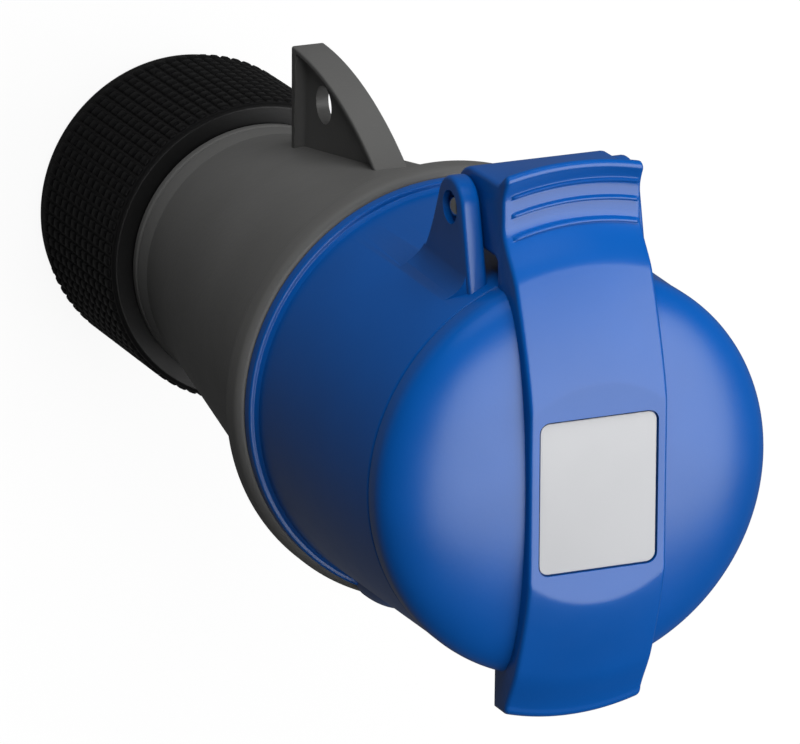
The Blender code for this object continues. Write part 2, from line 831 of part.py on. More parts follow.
def make_hinge():
    """The steel pin, and the spring that closes the lid."""
    ear_outer = STRAP_HALF_WIDTH + GAP + EAR_THICKNESS
    reach = ear_outer - PIN_RECESS_DEPTH / 2
    rod("hinge_pin", PIN_RADIUS, (-reach, PIN_REACH, PIN_Z), (reach, PIN_REACH, PIN_Z), "steel")
    make_lid_spring()


def tube_along(name, points, radius, finish):
    """A wire of this radius along the points, as a mesh with closed ends."""
    curve = bpy.data.curves.new(name, "CURVE")
    curve.dimensions = "3D"
    curve.bevel_depth = radius
    curve.bevel_resolution = 2
    curve.use_fill_caps = True
    spline = curve.splines.new("POLY")
    spline.points.add(len(points) - 1)
    for slot, point in zip(spline.points, points):
        slot.co = (*point, 1)
    guide = bpy.data.objects.new(f"{name}_guide", curve)
    CUTTERS.objects.link(guide)
    graph = bpy.context.evaluated_depsgraph_get()
    mesh = bpy.data.meshes.new_from_object(guide.evaluated_get(graph))
    bpy.data.objects.remove(guide, do_unlink=True)
    bm = bmesh.new()
    bm.from_mesh(mesh)
    bmesh.ops.remove_doubles(bm, verts=bm.verts, dist=1e-6)
    bm.to_mesh(mesh)
    bm.free()
    mesh.name = name
    return place(bpy.data.objects.new(name, mesh), finish)


def make_lid_spring():
    """The torsion spring round the pin, with one leg on the housing and one under the lever."""
    length = SPRING_TURNS * SPRING_PITCH
    steps = 8
    coil = []
    for i in range(SPRING_TURNS * steps + 1):
        turn = 2 * math.pi * i / steps
        x = -length / 2 + length * i / (SPRING_TURNS * steps)
        coil.append(
            (x,
             PIN_REACH - SPRING_COIL_RADIUS * math.cos(turn),
             PIN_Z + SPRING_COIL_RADIUS * math.sin(turn))
        )
    wire = SPRING_WIRE_RADIUS
    housing_top = shroud_radius(PIN_Z)
    bend = PIN_Z - SPRING_LEG_DROP - SPRING_LEG_BEND
    near = housing_top + wire + GAP
    far = PIN_REACH - SPRING_COIL_RADIUS
    housing_leg = [
        (-length / 2, near + (far - near) / 3, PIN_Z - SPRING_LEG_DROP),
        (-length / 2, near, bend),
        (-length / 2, near, bend - SPRING_LEG_LENGTH),
    ]
    lid_leg = [
        (length / 2, PIN_REACH - SPRING_COIL_RADIUS, PIN_Z + SPRING_LEG_RISE),
        (length / 2, PIN_REACH - SPRING_COIL_RADIUS, FACE - THUMB_DROP - LID_WALL - wire - GAP),
    ]
    tube_along("lid_spring", [*reversed(housing_leg), *coil, *lid_leg], wire, "steel")


def nut_outline(radius):
    """The nut's ribbed outline: shallow grooves between flat-topped ribs."""
    points = []
    pitch = 360 / NUT_RIBS
    for rib in range(NUT_RIBS):
        for share, depth in ((0.0, NUT_RIB_DEPTH), (0.30, 0.0), (0.80, 0.0)):
            point = on_circle(radius - depth, pitch * (rib + share))
            points.append((point.x, point.y))
    return points


def make_nut():
    """The black gland nut: ribbed outside, bored for the neck, with a floor round the cable."""
    edge = 0.0016
    foot = 0.0032
    nut = prism(
        "gland_nut",
        nut_outline(NUT_RADIUS),
        NUT_LENGTH + 2 * edge,
        "black plastic",
        start=-edge,
    )
    envelope = turned(
        "nut_envelope",
        [
            (BEAD_RADIUS + 0.0004, NUT_LENGTH),
            (NUT_RADIUS - edge, NUT_LENGTH),
            (NUT_RADIUS + 0.0005, NUT_LENGTH - edge),
            (NUT_RADIUS + 0.0005, foot),
            (NUT_RADIUS - foot, 0),
            (CABLE_HOLE_RADIUS, 0),
            (CABLE_HOLE_RADIUS, NUT_FLOOR),
            (NECK_RADIUS + GAP, NUT_FLOOR),
            (NECK_RADIUS + GAP, NUT_LENGTH),
        ],
        sides=NUT_RIBS // 2,
        rotation=(0, 0, math.radians(0.55 * 360 / NUT_RIBS)),
    )
    return combine(nut, envelope, "INTERSECT")


def make_gland():
    """The slip ring, the clamp cage with its fingers, and the cable seal."""
    ring_top = SLIP_RING_FRONT
    outer = NECK_RADIUS - GAP
    ring_inner = CABLE_HOLE_RADIUS + 0.001
    turned(
        "slip_ring",
        [(outer, ring_top), (outer, ring_top - SLIP_RING_THICKNESS),
         (ring_inner, ring_top - SLIP_RING_THICKNESS), (ring_inner, ring_top)],
        "carrier plastic",
        sides=MIDDLE_SIDES,
    )
    cage_foot = CAGE_FOOT
    cage_top = CAGE_RING_FRONT
    finger_outer = seat_radius(NECK_END) - GAP
    finger_top = cage_top + CAGE_FINGER_LENGTH
    finger_lean = finger_outer - seat_radius(finger_top) + GAP
    cage = turned(
        "clamp_cage",
        [
            (finger_outer - finger_lean, finger_top),
            (finger_outer, cage_top),
            (NECK_RADIUS - 0.0008, cage_top),
            (NECK_RADIUS - 0.0008, cage_foot),
            (finger_outer - CAGE_FINGER_WALL, cage_foot),
            (finger_outer - CAGE_FINGER_WALL, cage_top),
            (finger_outer - finger_lean - CAGE_FINGER_WALL, finger_top),
        ],
        "carrier plastic",
        sides=MIDDLE_SIDES,
    )
    half = CAGE_SLOT_WIDTH / 2
    for number in range(CAGE_FINGERS // 2):
        slot = block(
            f"cage_slot_{number + 1}",
            (-half, -NECK_RADIUS, cage_top + 0.0008),
            (half, NECK_RADIUS, finger_top + 0.001),
            rotation=(0, 0, 2 * math.pi * number / CAGE_FINGERS),
        )
        cut(cage, slot)
    seal_outer = finger_outer - finger_lean - CAGE_FINGER_WALL - GAP
    seal_foot = cage_foot
    ridges = 2
    bore = [
        (SEAL_BORE_RADIUS + 0.0012 * (step % 2 == 0), seal_foot + SEAL_LENGTH * step / ridges / 2)
        for step in range(2 * ridges + 1)
    ]
    turned(
        "gland_seal",
        [(seal_outer, seal_foot + SEAL_LENGTH), (seal_outer, seal_foot), *bore],
        "rubber",
        sides=MIDDLE_SIDES,
    )


def contact_places():
    """(name, angle, pin radius) of the five contacts. The key-way is at six o'clock."""
    names = ("earth", "line_1", "line_2", "line_3", "neutral")
    for number, name in enumerate(names):
        pin = EARTH_PIN_RADIUS if name == "earth" else LINE_PIN_RADIUS
        yield name, 180 + 72 * number, pin


def sleeve_radius(pin):
    return pin + 0.00005 + SLEEVE_WALL


def spring_ring_radius(pin):
    return sleeve_radius(pin) + 0.0003 + 0.0006


def make_carrier():
    """The contact carrier with a stepped bore for each contact, and its back plate."""
    flange = SPIGOT_RADIUS - SPIGOT_WALL - GAP
    carrier = rod(
        "contact_carrier",
        CARRIER_RADIUS,
        (0, 0, CARRIER_FLANGE_REAR),
        (0, 0, CARRIER_FRONT),
        "carrier plastic",
        sides=LARGE_SIDES,
    )
    carrier_flange = rod(
        "carrier_flange",
        flange,
        (0, 0, CARRIER_FLANGE_REAR),
        (0, 0, WEB_REAR - GAP),
        sides=LARGE_SIDES,
    )
    join(carrier, carrier_flange)
    plate = rod(
        "carrier_back_plate",
        flange,
        (0, 0, PLATE_REAR),
        (0, 0, PLATE_FRONT),
        "carrier plastic",
        sides=LARGE_SIDES,
    )
    front_wall = CARRIER_FRONT - CARRIER_FRONT_WALL
    for name, angle, pin in contact_places():
        x, y, _ = on_circle(PIN_CIRCLE_RADIUS, angle)
        entry = rod(
            f"entry_{name}",
            pin + 0.0005,
            (x, y, CARRIER_FLANGE_REAR - 0.001),
            (x, y, CARRIER_FRONT + 0.001),
        )
        funnel = rod(
            f"funnel_{name}",
            pin + 0.0005,
            (x, y, CARRIER_FRONT - 0.0012),
            (x, y, CARRIER_FRONT + 0.0004),
            tip=pin + 0.0021,
        )
        bore = rod(
            f"bore_{name}",
            spring_ring_radius(pin) + GAP,
            (x, y, CARRIER_FLANGE_REAR - 0.001),
            (x, y, front_wall),
        )
        cut(carrier, entry, funnel, bore)
        shank = rod(
            f"shank_hole_{name}",
            sleeve_radius(pin) - 0.0004 + GAP,
            (x, y, PLATE_REAR - 0.001),
            (x, y, PLATE_FRONT + 0.001),
        )
        cut(plate, shank)
    for number in range(3):
        x, y, _ = on_circle(PLATE_SCREW_CIRCLE, 36 + 120 * number)
        hole = rod(
            f"plate_screw_hole_{number + 1}",
            PLATE_SCREW_RADIUS + GAP,
            (x, y, PLATE_REAR - 0.001),
            (x, y, PLATE_REAR + PLATE_SCREW_LENGTH + GAP),
            sides=FINE_SIDES,
        )
        cut(plate, hole)
        cut(carrier, hole)


def make_contact(name, angle, pin):
    """One brass contact: slotted sleeve, collar, shank and terminal block, with its screw."""
    outer = sleeve_radius(pin)
    collar = spring_ring_radius(pin)
    collar_rear = PLATE_FRONT + GAP
    collar_front = collar_rear + COLLAR_THICKNESS
    sleeve_front = CARRIER_FRONT - CARRIER_FRONT_WALL - GAP
    bore = pin + 0.00005
    block_front = PLATE_REAR - GAP
    block_rear = block_front - TERMINAL_LENGTH
    place_at = on_circle(PIN_CIRCLE_RADIUS, angle)
    turn = (0, 0, math.radians(angle))
    shank = outer - 0.0004
    contact = turned(
        f"contact_{name}",
        [
            (0, collar_front + 0.002),
            (bore, collar_front + 0.003),
            (bore, sleeve_front - 0.0006),
            (bore + 0.0005, sleeve_front),
            (outer, sleeve_front),
            (outer, collar_front),
            (collar, collar_front),
            (collar, collar_rear),
            (shank, collar_rear),
            (shank, block_front - 0.001),
            (0, block_front - 0.001),
        ],
        "brass",
        sides=SMALL_SIDES,
        closed=False,
        location=place_at,
        rotation=turn,
    )
    half = TERMINAL_WIDTH / 2
    terminal = block(
        f"terminal_{name}",
        (-half, -half, block_rear),
        (half, half, block_front),
        location=place_at,
        rotation=turn,
    )
    wire_hole = rod(
        f"wire_hole_{name}",
        WIRE_HOLE_RADIUS,
        (0, 0, block_rear - 0.001),
        (0, 0, block_front - 0.003),
        sides=FINE_SIDES,
        location=place_at,
        rotation=turn,
    )
    screw_z = block_rear + 0.0055
    screw_hole = rod(
        f"screw_hole_{name}",
        TERMINAL_SCREW_RADIUS + GAP / 2,
        (0, 0, screw_z),
        (half + 0.001, 0, screw_z),
        sides=FINE_SIDES,
        location=place_at,
        rotation=turn,
    )
    slot = block(
        f"sleeve_slot_{name}",
        (-outer - 0.001, -SLEEVE_SLOT / 2, collar_front + 0.006),
        (outer + 0.001, SLEEVE_SLOT / 2, sleeve_front + 0.001),
        location=place_at,
        rotation=turn,
    )
    join(contact, terminal)
    cut(contact, wire_hole, screw_hole, slot)
    screw_end = half - 0.0014
    screw = rod(
        f"terminal_screw_{name}",
        TERMINAL_SCREW_RADIUS - GAP / 2,
        (screw_end, 0, screw_z),
        (screw_end + TERMINAL_SCREW_LENGTH, 0, screw_z),
        "steel",
        sides=FINE_SIDES,
        location=place_at,
        rotation=turn,
    )
    head = screw_end + TERMINAL_SCREW_LENGTH
    screw_slot = block(
        f"screw_slot_{name}",
        (head - 0.0010, -0.0004, screw_z - 0.003),
        (head + 0.001, 0.0004, screw_z + 0.003),
        location=place_at,
        rotation=turn,
    )
    cut(screw, screw_slot)
    ring_inner = outer + 0.0003
    ring_front = sleeve_front - 0.0015
    turned(
        f"contact_spring_{name}",
        [
            (collar, ring_front),
            (collar, ring_front - 0.004),
            (ring_inner, ring_front - 0.004),
            (ring_inner, ring_front),
        ],
        "steel",
        sides=SMALL_SIDES,
        location=place_at,
        rotation=turn,
    )


def make_plate_screws():
    """The three screws that hold the back plate on the carrier."""
    for number in range(3):
        middle = on_circle(PLATE_SCREW_CIRCLE, 36 + 120 * number)
        head_rear = PLATE_REAR - GAP - 0.0018
        screw = turned(
            f"plate_screw_{number + 1}",
            [
                (0, PLATE_REAR + PLATE_SCREW_LENGTH - GAP),
                (PLATE_SCREW_RADIUS, PLATE_REAR + PLATE_SCREW_LENGTH - 0.0012),
                (PLATE_SCREW_RADIUS, PLATE_REAR - GAP),
                (2 * PLATE_SCREW_RADIUS, PLATE_REAR - GAP),
                (1.8 * PLATE_SCREW_RADIUS, head_rear),
                (0, head_rear),
            ],
            "steel",
            sides=FINE_SIDES,
            closed=False,
            location=middle,
        )
        slot = block(
            f"plate_screw_slot_{number + 1}",
            (-0.004, -0.0004, head_rear - 0.001),
            (0.004, 0.0004, head_rear + 0.0008),
            location=middle,
        )
        cut(screw, slot)


def main():
    make_rear_housing()
    make_front_housing()
    make_carrier()
    for name, angle, pin in contact_places():
        make_contact(name, angle, pin)
    make_plate_screws()
    make_lid()
    make_label()
    make_gasket()
    make_hinge()
    make_nut()
    make_gland()


main()
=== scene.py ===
"""The looks of the industrial cable coupler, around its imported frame.

Lengths here are millimetres measured from the coupler's own axis, which stands upright at
AXIS_Y behind the frame's origin. They become metres when a mesh is made.
"""

import json
import math

import bmesh
import bpy
import numpy as np
from mathutils import Matrix, Vector


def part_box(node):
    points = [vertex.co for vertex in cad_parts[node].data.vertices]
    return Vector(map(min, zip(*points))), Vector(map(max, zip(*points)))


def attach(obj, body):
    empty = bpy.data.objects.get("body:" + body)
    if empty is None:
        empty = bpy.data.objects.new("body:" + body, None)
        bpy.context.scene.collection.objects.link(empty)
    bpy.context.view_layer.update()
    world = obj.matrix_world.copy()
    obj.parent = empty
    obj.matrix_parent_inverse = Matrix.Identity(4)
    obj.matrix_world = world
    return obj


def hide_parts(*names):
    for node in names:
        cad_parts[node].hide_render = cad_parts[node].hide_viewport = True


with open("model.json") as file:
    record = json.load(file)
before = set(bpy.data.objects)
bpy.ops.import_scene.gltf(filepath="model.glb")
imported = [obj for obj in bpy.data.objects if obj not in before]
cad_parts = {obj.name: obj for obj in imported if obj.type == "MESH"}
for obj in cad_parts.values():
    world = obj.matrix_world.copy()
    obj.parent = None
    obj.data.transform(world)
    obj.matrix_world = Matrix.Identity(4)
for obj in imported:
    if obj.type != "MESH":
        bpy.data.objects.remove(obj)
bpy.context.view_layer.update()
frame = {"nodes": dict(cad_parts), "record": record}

MM = 0.001
SHARP_ANGLE = 32
TURNED_SIDES = 240


def reach(node):
    """The node's lowest and highest corners in mm, from the coupler's axis."""
    low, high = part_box(node)
    shift = np.array((0.0, AXIS_Y, 0.0))
    return np.array(low) / MM - shift, np.array(high) / MM - shift


# Sizes that the frame gives
nut_low, nut_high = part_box("gland_nut")
AXIS_Y = (nut_low.y + nut_high.y) / 2 / MM
lid_low, lid_high = reach("lid")
FACE = lid_high[2]
LEVER_REACH = lid_high[1]
TAB_REACH = -lid_low[1]
LID_RADIUS = lid_high[0]
RIM = reach("front_housing")[1][2]
LID_REAR = reach("lid_gasket")[0][2]
GASKET_TOP = reach("lid_gasket")[1][2]
GASKET_REACH = reach("lid_gasket")[1][0]
HOUSING_FRONT = reach("rear_housing")[1][2]
FLANGE_RADIUS = reach("rear_housing")[1][0]
NECK_END = reach("rear_housing")[0][2]
LUG_REACH = reach("rear_housing")[1][1]
NUT_FRONT = reach("gland_nut")[1][2]
PIN_LOW, PIN_HIGH = reach("hinge_pin")
PIN_Y = (PIN_LOW[1] + PIN_HIGH[1]) / 2
PIN_Z = (PIN_LOW[2] + PIN_HIGH[2]) / 2
PIN_RADIUS = (PIN_HIGH[2] - PIN_LOW[2]) / 2
LABEL_LOW, LABEL_HIGH = reach("label_plate")

# Lid and lever
GAP = 0.3
STRAP_HALF = 12.66
STRAP_EDGE_ROUND = 0.7
FACET_RADIUS = 19.26
STRAP_END = 41.9
STRAP_DROP = 8.4
STRAP_BOW = 1.22
BEND_START = 8
BEND_END = 32
CROWN_DROP = 1.1
RIM_HEIGHT = 2.4
DOME_BASE = LID_REAR + RIM_HEIGHT
DOME_RISE = FACE - CROWN_DROP - DOME_BASE
LID_WALL = 2.4
GASKET_WIDTH = 2.4
SINK = 0.8
DIP_START = 37.8
THUMB_DROP = 11.8
THUMB_START = 46.2
THUMB_END = 50.3
LEVER_DROP = 9.7
FLARE_POWER = 1.6
TIP_ROUND = 0.9
TIP_CORNER = 0.6
RIDGES = (44.4, 48.0, 51.1)
RIDGE_LEAN = 0.03
RIDGE_HEIGHT = 0.55
RIDGE_CREST = 0.12
RIDGE_FLANK = 0.38
RIDGE_HALF = 11.0
RIDGE_END = 0.6
RIDGE_MARGIN = 0.6
RIDGE_SHIFT = 0.45
TAB_TIP_ROUND = 1.6
TAB_TIP_DROP = 0.9
TAB_TIP_RUN = 9
BARREL_RADIUS = 6.4
BARREL_WALL = 1.3
SPRING_HALF = 6.1
LEG_SWEEP = (-160, -35)
LABEL_CORNER = 1.6
LABEL_EDGE = 0.08

# Housings
HOUSING_REAR = NUT_FRONT + GAP
FLANGE_REAR = HOUSING_FRONT - 5.4
FLARE_FOOT = FLANGE_REAR - 5.5
FLANGE_STEP = 2.2
CONE_REAR = HOUSING_REAR + 6.4
CONE_REAR_RADIUS = 24.35
CONE_FRONT_RADIUS = 35.0
GRIP_WALL = 2.8
MOUTH_RADIUS = 33.3
MOUTH_FLOOR = HOUSING_FRONT - 8.0
NECK_RADIUS = 21.8
SEAT_RADIUS = 19.9
THROAT_RADIUS = 17.35
LUG_REAR = HOUSING_REAR + 23.5
LUG_FOOT_LENGTH = 38.4
LUG_CURVE = 70.0
LUG_HALF = 3.1
LUG_WEB_HALF = 1.2
LUG_ARC_BORDER = 0.8
LUG_REAR_BORDER = 1.2
LUG_POCKET_ROUND = 1.5
LUG_HOLE_RADIUS = 3.5
LUG_HOLE_DROP = 8.5
LUG_HOLE_INSET = 10.5
RING_REAR = HOUSING_FRONT + GAP
RING_FRONT = RING_REAR + 2.2
RING_RADIUS = 38.04
SHROUD_REAR_RADIUS = 36.6
SHROUD_FRONT_RADIUS = 35.8
SHROUD_BORE = 32.75
SPIGOT_RADIUS = 33.0
SPIGOT_BORE = 30.4
CATCH_BORE = 29.6
WEB_BORE = 28.8
WEB_FRONT = RIM - 38.4
KEY_HALF = 5.2
KEY_REACH = SHROUD_BORE + 3.0
KEY_WALL = 2.4
EAR_RADIUS = 5.3
EAR_THICKNESS = 3.5
EAR_OUTER = STRAP_HALF + GAP + EAR_THICKNESS
EAR_FOOT_Y = 30.8
EAR_SPREAD_Y = 31.6
EAR_FRONT = RIM - 2.0
EAR_REAR = RIM - 21.5
EAR_FLARE = 6.0
EAR_EDGE = 0.8
EAR_FILLET = 3.4
FILLET_INSET = 0.12
FILLET_LEVEL = 36.1
PIN_RECESS_RADIUS = 2.9
PIN_RECESS_DEPTH = 1.2
PIN_DOME = 1.3
BOSS_ANGLE = 247
BOSS_REACH = 39.3
BOSS_FOOT = 35.4
BOSS_WIDTH = 8.0
BOSS_LENGTH = 13.5

# Nut
NUT_RIBS = 80
PAD_HEIGHT = 0.55
PAD_FOOT = 0.11
PAD_TOP = 0.22
NUT_BASE_RADIUS = 28.25
KNURL_REAR = 4.2
KNURL_ROWS = 12


def smooth(value, low, high):
    """Zero below low, one above high, and an S-curve between."""
    share = np.clip((value - low) / (high - low), 0.0, 1.0)
    return share * share * (3 - 2 * share)


def bump(distance, half_width, softness):
    """One within half_width of zero, falling to nothing over the softness beyond it."""
    return 1 - smooth(np.abs(distance), half_width, half_width + softness)


# Meshes


def finish_mesh(name, points, faces, body, node=None, sharp=SHARP_ANGLE):
    """A closed mesh from points in mm and faces, riding on a body in place of a node."""
    place = np.asarray(points, float) + (0.0, AXIS_Y, 0.0)
    mesh = bpy.data.meshes.new(name)
    mesh.from_pydata((place * MM).tolist(), [], faces)
    bm = bmesh.new()
    bm.from_mesh(mesh)
    bmesh.ops.remove_doubles(bm, verts=bm.verts, dist=2e-6)
    bmesh.ops.dissolve_degenerate(bm, edges=bm.edges, dist=1e-7)
    bmesh.ops.recalc_face_normals(bm, faces=bm.faces)
    bm.to_mesh(mesh)
    bm.free()
    mesh.shade_smooth()
    mesh.set_sharp_from_angle(angle=math.radians(sharp))
    obj = bpy.data.objects.new(name, mesh)
    bpy.context.scene.collection.objects.link(obj)
    if body:
        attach(obj, body)
    if node:
        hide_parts(node)
    return obj


def grid_faces(rows, columns):
    """Quads of a grid whose columns close on themselves."""
    row = np.arange(rows - 1)[:, None] * columns
    column = np.arange(columns)[None, :]
    following = (column + 1) % columns
    quads = np.stack(
        (row + column, row + following, row + columns + following, row + columns + column), axis=-1
    )
    return quads.reshape(-1, 4).tolist()


def turned(name, profile, body=None, node=None):
    """The profile turned about the axis: (r cos a, r sin a, z) for each angle a.

    The profile closes on itself unless it starts on the axis.
    """
    profile = np.asarray(profile, float)
    if abs(profile[0, 0]) > 1e-6:
        profile = np.vstack((profile, profile[:1]))
    angle = np.linspace(0, 2 * np.pi, TURNED_SIDES, endpoint=False)[None, :]
    radius = profile[:, :1] + np.zeros_like(angle)
    height = profile[:, 1:] + np.zeros_like(angle)
    points = np.stack((radius * np.cos(angle), radius * np.sin(angle), height), axis=-1)
    faces = grid_faces(len(profile), TURNED_SIDES)
    return finish_mesh(name, points.reshape(-1, 3), faces, body, node)


def pairs(first, second):
    """Two rows of numbers as one row of points."""
    return np.stack((first, second), axis=1)


def rounded(corners, steps=5):
    """A closed outline through the corners, each (a, b, radius), with its corners made arcs.

    An arc of that radius touches both edges: it starts and ends radius / tan(half the corner's
    angle) away from the corner.
    """
    corners = np.asarray(corners, float)
    outline = []
    for before, corner, after in zip(np.roll(corners, 1, 0), corners, np.roll(corners, -1, 0)):
        here, radius = corner[:2], corner[2]
        into = before[:2] - here
        out = after[:2] - here
        into_length, out_length = np.linalg.norm(into), np.linalg.norm(out)
        if radius <= 0 or min(into_length, out_length) < 1e-9:
            outline.append(here)
            continue
        into, out = into / into_length, out / out_length
        half = math.acos(np.clip(into @ out, -1, 1)) / 2
        if half > math.pi / 2 - 0.01:
            outline.append(here)
            continue
        run = min(radius / math.tan(half), 0.49 * into_length, 0.49 * out_length)
        radius = run * math.tan(half)
        centre = here + (into + out) / np.linalg.norm(into + out) * radius / math.sin(half)
        first = here + into * run - centre
        last = here + out * run - centre
        turn = math.pi - 2 * half
        share = np.linspace(0, 1, steps + 1)[:, None]
        arc = (first * np.sin((1 - share) * turn) + last * np.sin(share * turn)) / math.sin(turn)
        outline.extend(centre + arc)
    return np.array(outline)


def inset(outline, depth):
    """The closed outline moved inwards by depth along its own normals."""
    ahead = np.roll(outline, -1, 0) - outline
    ahead /= np.maximum(np.linalg.norm(ahead, axis=1, keepdims=True), 1e-9)
    behind = np.roll(ahead, 1, 0)
    along = ahead + behind
    along /= np.maximum(np.linalg.norm(along, axis=1, keepdims=True), 1e-9)
    following = np.roll(outline, -1, 0)
    area = np.sum(outline[:, 0] * following[:, 1] - outline[:, 1] * following[:, 0])
    normal = pairs(-along[:, 1], along[:, 0]) * np.sign(area)
    return outline + normal * depth


def slab(name, outline_at, low, high, edge=0.0, body=None, node=None, across="X", stations=2):
    """A slab between two planes, with round edges.

    outline_at is its closed outline, or gives it for each place p across. Over the last stretch
    of each side, of length edge, the outline draws in by edge * (1 - cos a) while p moves on by
    edge * sin a, which rounds the edge.
    """
    turns = np.linspace(0, np.pi / 2, 5)
    rise, draw = edge * np.sin(turns[1:]), edge * (1 - np.cos(turns[1:]))
    inner = np.linspace(low + edge, high - edge, stations)
    places = np.concatenate((low + edge - rise[::-1], inner, high - edge + rise))
    depths = np.concatenate((draw[::-1], np.zeros(stations), draw))
    rings = []
    for place, depth in zip(places, depths):
        outline = outline_at(place) if callable(outline_at) else outline_at
        ring = inset(outline, depth)
        column = np.full((len(ring), 1), place)
        rings.append(np.hstack((column, ring) if across == "X" else (ring, column)))
    points = np.concatenate(rings)
    count = len(rings[0])
    faces = grid_faces(len(rings), count)
    faces.append(list(range(count))[::-1])
    faces.append(list(range(len(points) - count, len(points))))
    return finish_mesh(name, points, faces, body, node)


def carve(obj, others, operation="DIFFERENCE"):
    """Applies Booleans of the object with the others, which are then removed."""
    for other in others:
        step = obj.modifiers.new(operation.lower(), "BOOLEAN")
        step.operation = operation
        step.object = other
        step.solver = "EXACT"
    graph = bpy.context.evaluated_depsgraph_get()
    made = bpy.data.meshes.new_from_object(obj.evaluated_get(graph))
    obj.modifiers.clear()
    old = obj.data
    obj.data = made
    bpy.data.meshes.remove(old)
    made.shade_smooth()
    made.set_sharp_from_angle(angle=math.radians(SHARP_ANGLE))
    for other in others:
        bpy.data.objects.remove(other, do_unlink=True)


def rounded_box_outline(low, high, radius):
    """A rectangle's outline between two corners, with round corners."""
    corners = [(low[0], low[1]), (high[0], low[1]), (high[0], high[1]), (low[0], high[1])]
    return rounded([(*corner, radius) for corner in corners], steps=8)


def circle(centre_y, centre_z, radius):
    """A circle's outline."""
    turn = np.linspace(0, 2 * np.pi, 64, endpoint=False)
    return pairs(centre_y + radius * np.cos(turn), centre_z + radius * np.sin(turn))


# Shader expressions


class Value:
    """A shader socket that takes part in Python arithmetic."""

    def __init__(self, tree, socket):
        self.tree = tree
        self.socket = socket

    def node(self, kind, settings=None, **inputs):
        return make_node(self.tree, kind, settings, **inputs)

    def maths(self, operation, first, second):
        return self.node("ShaderNodeMath", {"operation": operation}, **{"0": first, "1": second})

    def __add__(self, other):
        return self.maths("ADD", self, other)

    __radd__ = __add__

    def __mul__(self, other):
        return self.maths("MULTIPLY", self, other)


def make_node(tree, kind, settings=None, output=0, **inputs):
    """Any shader node, with its settings first and then the values or links of its sockets."""
    node = tree.nodes.new(kind)
    for key, value in (settings or {}).items():
        if key == "stops":
            for element, (place, colour) in zip(node.color_ramp.elements, value):
                element.position = place
                element.color = (*colour, 1.0)
        else:
            setattr(node, key, value)
    for key, value in inputs.items():
        socket = node.inputs[int(key)] if key.isdigit() else node.inputs[key.replace("_", " ")]
        if isinstance(value, Value):
            tree.links.new(value.socket, socket)
        else:
            socket.default_value = value
    return Value(tree, node.outputs[output])


def material(name, colour, roughness, metallic=0.0, shade=0.05, grain=0.00002, specular=0.5):
    """A finish with a slow change of tone, uneven gloss and a fine moulded or drawn grain.

    The tone is the colour times 1 - shade to 1 + shade, by a noise a few centimetres wide. The
    roughness wanders by a tenth with a finer noise, and the grain is a bump of that height.
    """
    made = bpy.data.materials.new(name)
    made.use_nodes = True
    tree = made.node_tree
    shader = tree.nodes["Principled BSDF"]
    place = make_node(tree, "ShaderNodeTexCoord", output=3)
    slow = place.node("ShaderNodeTexNoise", Vector=place, Scale=38.0, Detail=2.0)
    fine = place.node("ShaderNodeTexNoise", Vector=place, Scale=1400.0, Detail=3.0)
    middle = place.node("ShaderNodeTexNoise", Vector=place, Scale=220.0, Detail=3.0)
    dark = tuple(c * (1 - shade) for c in colour)
    light = tuple(min(1.0, c * (1 + shade)) for c in colour)
    tone = place.node("ShaderNodeValToRGB", {"stops": ((0.35, dark), (0.65, light))}, Fac=slow)
    tree.links.new(tone.socket, shader.inputs["Base Color"])
    gloss = roughness * 0.9 + middle * (roughness * 0.2)
    tree.links.new(gloss.socket, shader.inputs["Roughness"])
    relief = place.node("ShaderNodeBump", Height=fine, Distance=grain, Strength=1.0)
    tree.links.new(relief.socket, shader.inputs["Normal"])
    shader.inputs["Metallic"].default_value = metallic
    shader.inputs["Specular IOR Level"].default_value = specular
    made.diffuse_color = (*colour, 1.0)
    return made


BLUE = material("blue_moulding", (0.0004, 0.071, 0.315), 0.31, grain=0.000010, specular=0.60)
GREY = material("grey_moulding", (0.099, 0.099, 0.097), 0.42, grain=0.00003, specular=0.38)
BLACK = material("black_moulding", (0.0036, 0.0036, 0.0038), 0.45, specular=0.36)
LABEL = material("label_film", (0.392, 0.397, 0.412), 0.5, shade=0.02, grain=0.000004)
RUBBER = material("gasket_rubber", (0.016, 0.016, 0.017), 0.7, grain=0.00003)
CARRIER = material("carrier_plastic", (0.035, 0.037, 0.040), 0.5)
BRASS = material("turned_brass", (0.66, 0.47, 0.20), 0.26, metallic=1.0, grain=0.000006)
STEEL = material("drawn_steel", (0.56, 0.56, 0.55), 0.20, metallic=1.0, grain=0.000006)


def dress(obj, finish):
    """Gives a new piece its finish."""
    obj.data.materials.clear()
    obj.data.materials.append(finish)


# Lid


def strap_height(radius):
    """The strap's front: flat out to the facet's edge, then a drop that grows as share ** bow."""
    share = np.clip((radius - FACET_RADIUS) / (STRAP_END - FACET_RADIUS), 0, None)
    return FACE - STRAP_DROP * share**STRAP_BOW


def dome_height(radius, sink):
    """A half ellipse over the lid's radius, sunk by so much."""
    share = np.clip(radius / (LID_RADIUS - sink), 0, 1)
    return DOME_BASE + (DOME_RISE - sink) * np.sqrt(1 - share**2)


